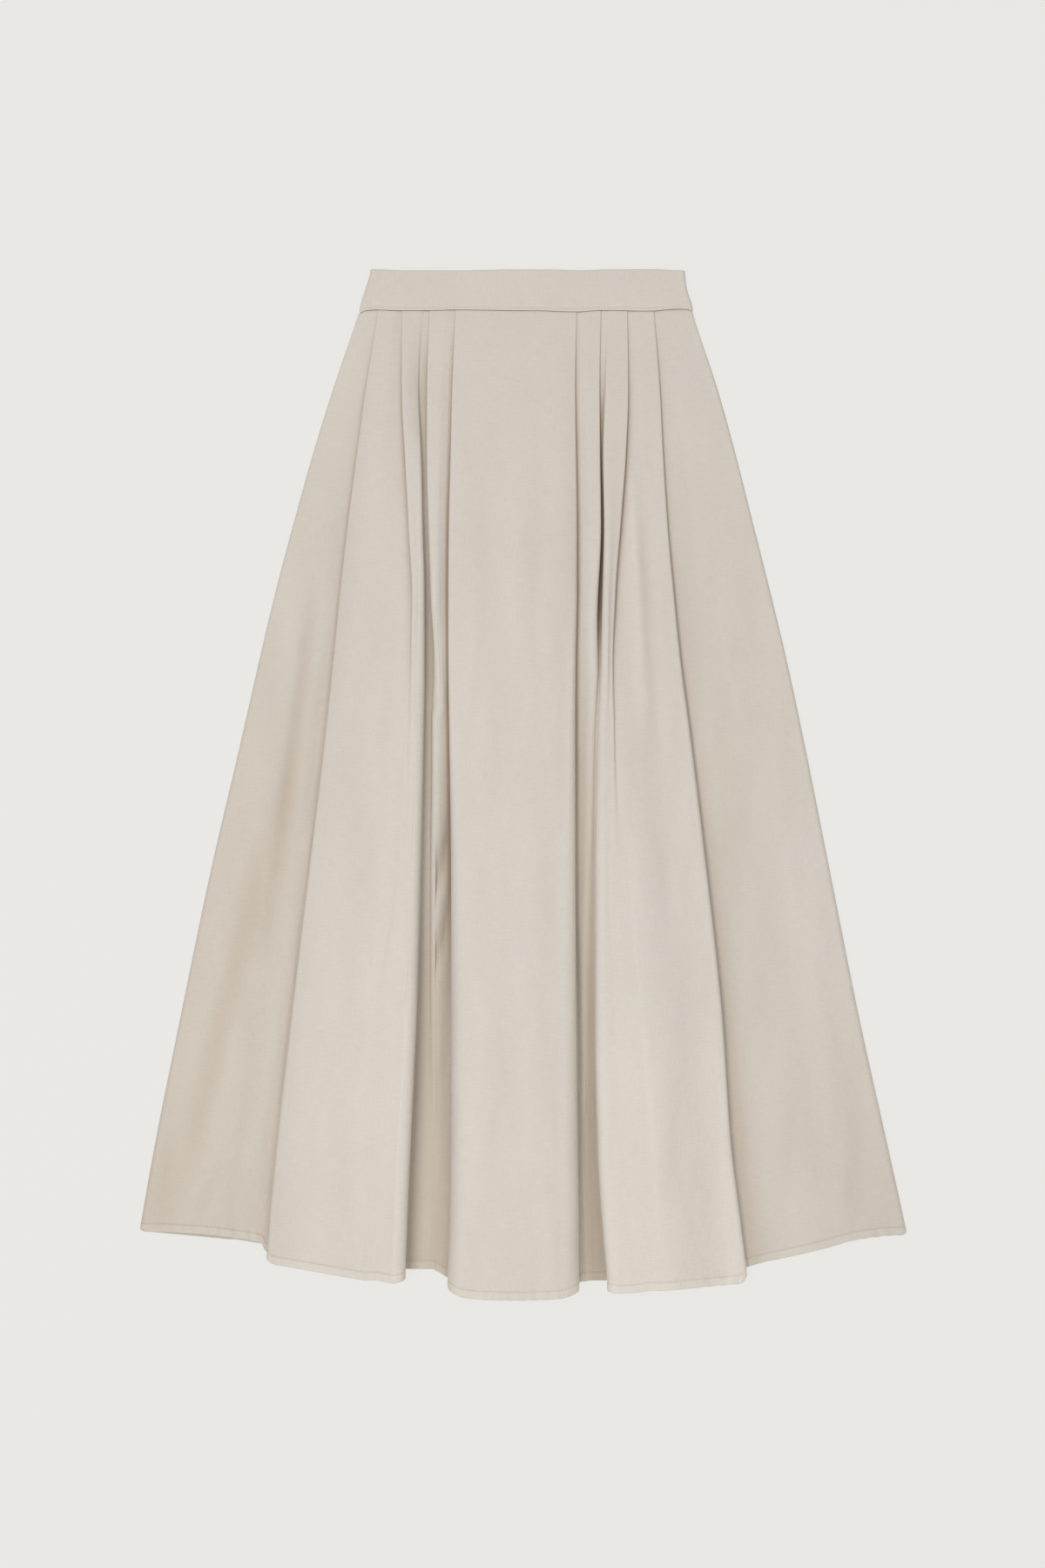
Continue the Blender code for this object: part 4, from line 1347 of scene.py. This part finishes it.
class SKIRT_OT_waistband(bpy.types.Operator):
    """Add both halves of the waistband and their topstitching"""

    bl_idname = "skirt.waistband"
    bl_label = "Waistband"

    def execute(self, context):
        settings = context.scene.skirt_cloth
        # The band's cotton is 2 % lighter than the skirt's: painted light, as the light is weaker towards
        # the waist.
        cloth = cotton("band_cotton", shade(tuple(settings.colour), 1.02), stiff=True)
        spun = thread("band_thread", tuple(settings.thread_colour))
        row = BAND_ROWS.index(BAND_STITCH_ROW)
        for half, level, side in (("front", BAND_FRONT_Z, 1), ("back", BAND_BACK_Z, -1)):
            name = "band_" + half
            sheet = band_sheet(name, level, side)
            finish_piece(sheet.build(), cloth, "waistband_" + half, slot="band_cloth")
            stitches = stitch_row(name + "_stitches", sheet, row, settings, BAND_THREAD, BAND_STITCH_SINK)
            finish_piece(stitches, spun, slot="band_cloth")
        return {"FINISHED"}


ZIP_LENGTH = 205.0
ZIP_WIDTH = 7.0
ZIP_INSET = 7.5
ZIP_STEPS = 41
TAPE_HALF = 0.2
COIL_PITCH = 1.3
COIL_TEETH = 154
COIL_LEAN = 0.25
TOOTH_SIZE = (2.6, 0.75, 0.42)
SLIDER_BODY = (4.4, 6.4, 0.5)
SLIDER_BRIDGE = (1.6, 5.0, 0.35)


def zip_line(down):
    """Middle of the zip at a distance below the band's top edge: x, y and z."""
    drop = SEAM_Y - BAND_TOP_Y + down
    side = BAND_ENDS.at("right", down) if drop < 0 else RIGHT_LINES.at("side", drop)
    return side - ZIP_INSET, SEAM_Y - drop, RIGHT_HEIGHTS.at("side", max(drop, 0)) - CLOTH - SEAM_GAP


class SKIRT_OT_zip(bpy.types.Operator):
    """Add the closed concealed zip inside the right side seam"""

    bl_idname = "skirt.zip"
    bl_label = "Side Zip"

    def execute(self, context):
        colour = tuple(context.scene.skirt_cloth.colour)
        grid = []
        for step in range(ZIP_STEPS + 1):
            x, y, z = zip_line(1 + ZIP_LENGTH * step / ZIP_STEPS)
            grid.append([(x + ZIP_WIDTH * u, y, z - 0.15) for u in np.linspace(-0.5, 0.5, 15)])
        grid = np.array(grid)
        half = np.full(grid.shape[:2], TAPE_HALF)
        tape = Sheet("zip_tape", grid, half, half, 1, (arc_lengths(grid), SEAM_Y - grid[..., 1]))
        cloth = cotton("zip_tape_cotton", shade(colour, 0.9))
        finish_piece(tape.build(), cloth, "side_zip", slot="zip_tape")

        teeth = []
        for tooth in range(COIL_TEETH):
            x, y, z = zip_line(4 + COIL_PITCH * tooth)
            lean = COIL_LEAN if tooth % 2 else -COIL_LEAN
            teeth.append(((x + lean, y, z + 0.22), TOOTH_SIZE))
        coil = boxes("zip_coil", teeth, 0.12)
        finish_piece(coil, moulded("zip_nylon", shade(colour, 0.85), 0.45), slot="zip_tape")

        x, y, z = zip_line(5)
        parts = (((x, y, z + 0.25), SLIDER_BODY), ((x, y, z + 0.6), SLIDER_BRIDGE))
        slider = boxes("zip_slider", parts, 0.15)
        finish_piece(slider, moulded("zip_enamel", shade(colour, 0.8), 0.35), slot="zip_tape")
        return {"FINISHED"}


FLOOR_REACH = 4000


def add_floor(settings):
    reach = FLOOR_REACH
    corners = [(-reach, -reach, 0), (reach, -reach, 0), (reach, reach, 0), (-reach, reach, 0)]
    floor = mesh_object("floor", corners, [(0, 1, 2, 3)])
    floor.location.z = -0.0002
    glow = settings.floor_glow
    pale = Nodes("pale_floor").finish(
        Base_Color=shade(tuple(settings.floor_colour), 1 - glow),
        Roughness=0.9,
        Specular_IOR_Level=0.0,
        Emission_Color=tuple(settings.floor_colour),
        Emission_Strength=glow,
    )
    floor.data.materials.append(pale)


def add_area_light(name, place, target, size, power):
    light = bpy.data.lights.new(name, "AREA")
    light.shape = "DISK"
    light.size = size
    light.energy = power
    holder = bpy.data.objects.new(name, light)
    holder.location = place
    away = [place[i] - target[i] for i in range(3)]
    flat = math.hypot(away[0], away[1])
    holder.rotation_euler = (math.atan2(flat, away[2]), 0, math.atan2(away[0], -away[1]))
    bpy.context.scene.collection.objects.link(holder)


class SKIRT_OT_stage(bpy.types.Operator):
    """Add the pale floor, the soft lights and the camera that looks straight down"""

    bl_idname = "skirt.stage"
    bl_label = "Stage"

    def execute(self, context):
        scene = context.scene
        settings = scene.skirt_stage
        add_floor(settings)
        scene.world = bpy.data.worlds.new("pale_sky")
        scene.world.use_nodes = True
        background = scene.world.node_tree.nodes["Background"]
        background.inputs["Color"].default_value = (1.0, 0.965, 0.915, 1.0)
        background.inputs["Strength"].default_value = settings.sky
        add_area_light("key_light", (-1.1, -0.45, 2.6), (0, -0.1, 0), 1.6, settings.key)
        add_area_light("fill_light", (1.3, 0.2, 2.6), (0, 0, 0), 2.4, settings.key * 0.36)
        camera = bpy.data.cameras.new("camera")
        camera.sensor_fit = "HORIZONTAL"
        camera.sensor_width = 24
        camera.lens = camera.sensor_width * settings.camera_height / settings.frame_width
        camera.clip_end = 50
        holder = bpy.data.objects.new("camera", camera)
        holder.location = (0, 0, settings.camera_height)
        scene.collection.objects.link(holder)
        scene.camera = holder
        scene.view_settings.view_transform = "Standard"
        return {"FINISHED"}


class SKIRT_PT_panel(bpy.types.Panel):
    """Sidebar panel with the skirt's settings and buttons"""

    bl_label = "Pleated Skirt"
    bl_idname = "SKIRT_PT_panel"
    bl_space_type = "VIEW_3D"
    bl_region_type = "UI"
    bl_category = "Skirt"

    def draw(self, context):
        column = self.layout.column()
        for group in (context.scene.skirt_cloth, context.scene.skirt_stage):
            for name in group.bl_rna.properties.keys():
                if name not in ("rna_type", "name"):
                    column.prop(group, name)
        for operator in OPERATORS:
            column.operator(operator.bl_idname)


OPERATORS = (SKIRT_OT_front, SKIRT_OT_back, SKIRT_OT_waistband, SKIRT_OT_zip, SKIRT_OT_stage)
CLASSES = (ClothSettings, StageSettings, *OPERATORS, SKIRT_PT_panel)


def register():
    for item in CLASSES:
        bpy.utils.register_class(item)
    bpy.types.Scene.skirt_cloth = PointerProperty(type=ClothSettings)
    bpy.types.Scene.skirt_stage = PointerProperty(type=StageSettings)


def unregister():
    del bpy.types.Scene.skirt_stage
    del bpy.types.Scene.skirt_cloth
    for item in reversed(CLASSES):
        bpy.utils.unregister_class(item)


def main():
    register()
    bpy.ops.skirt.front()
    bpy.ops.skirt.back()
    bpy.ops.skirt.waistband()
    bpy.ops.skirt.zip()
    bpy.ops.skirt.stage()


if __name__ == "__main__":
    main()
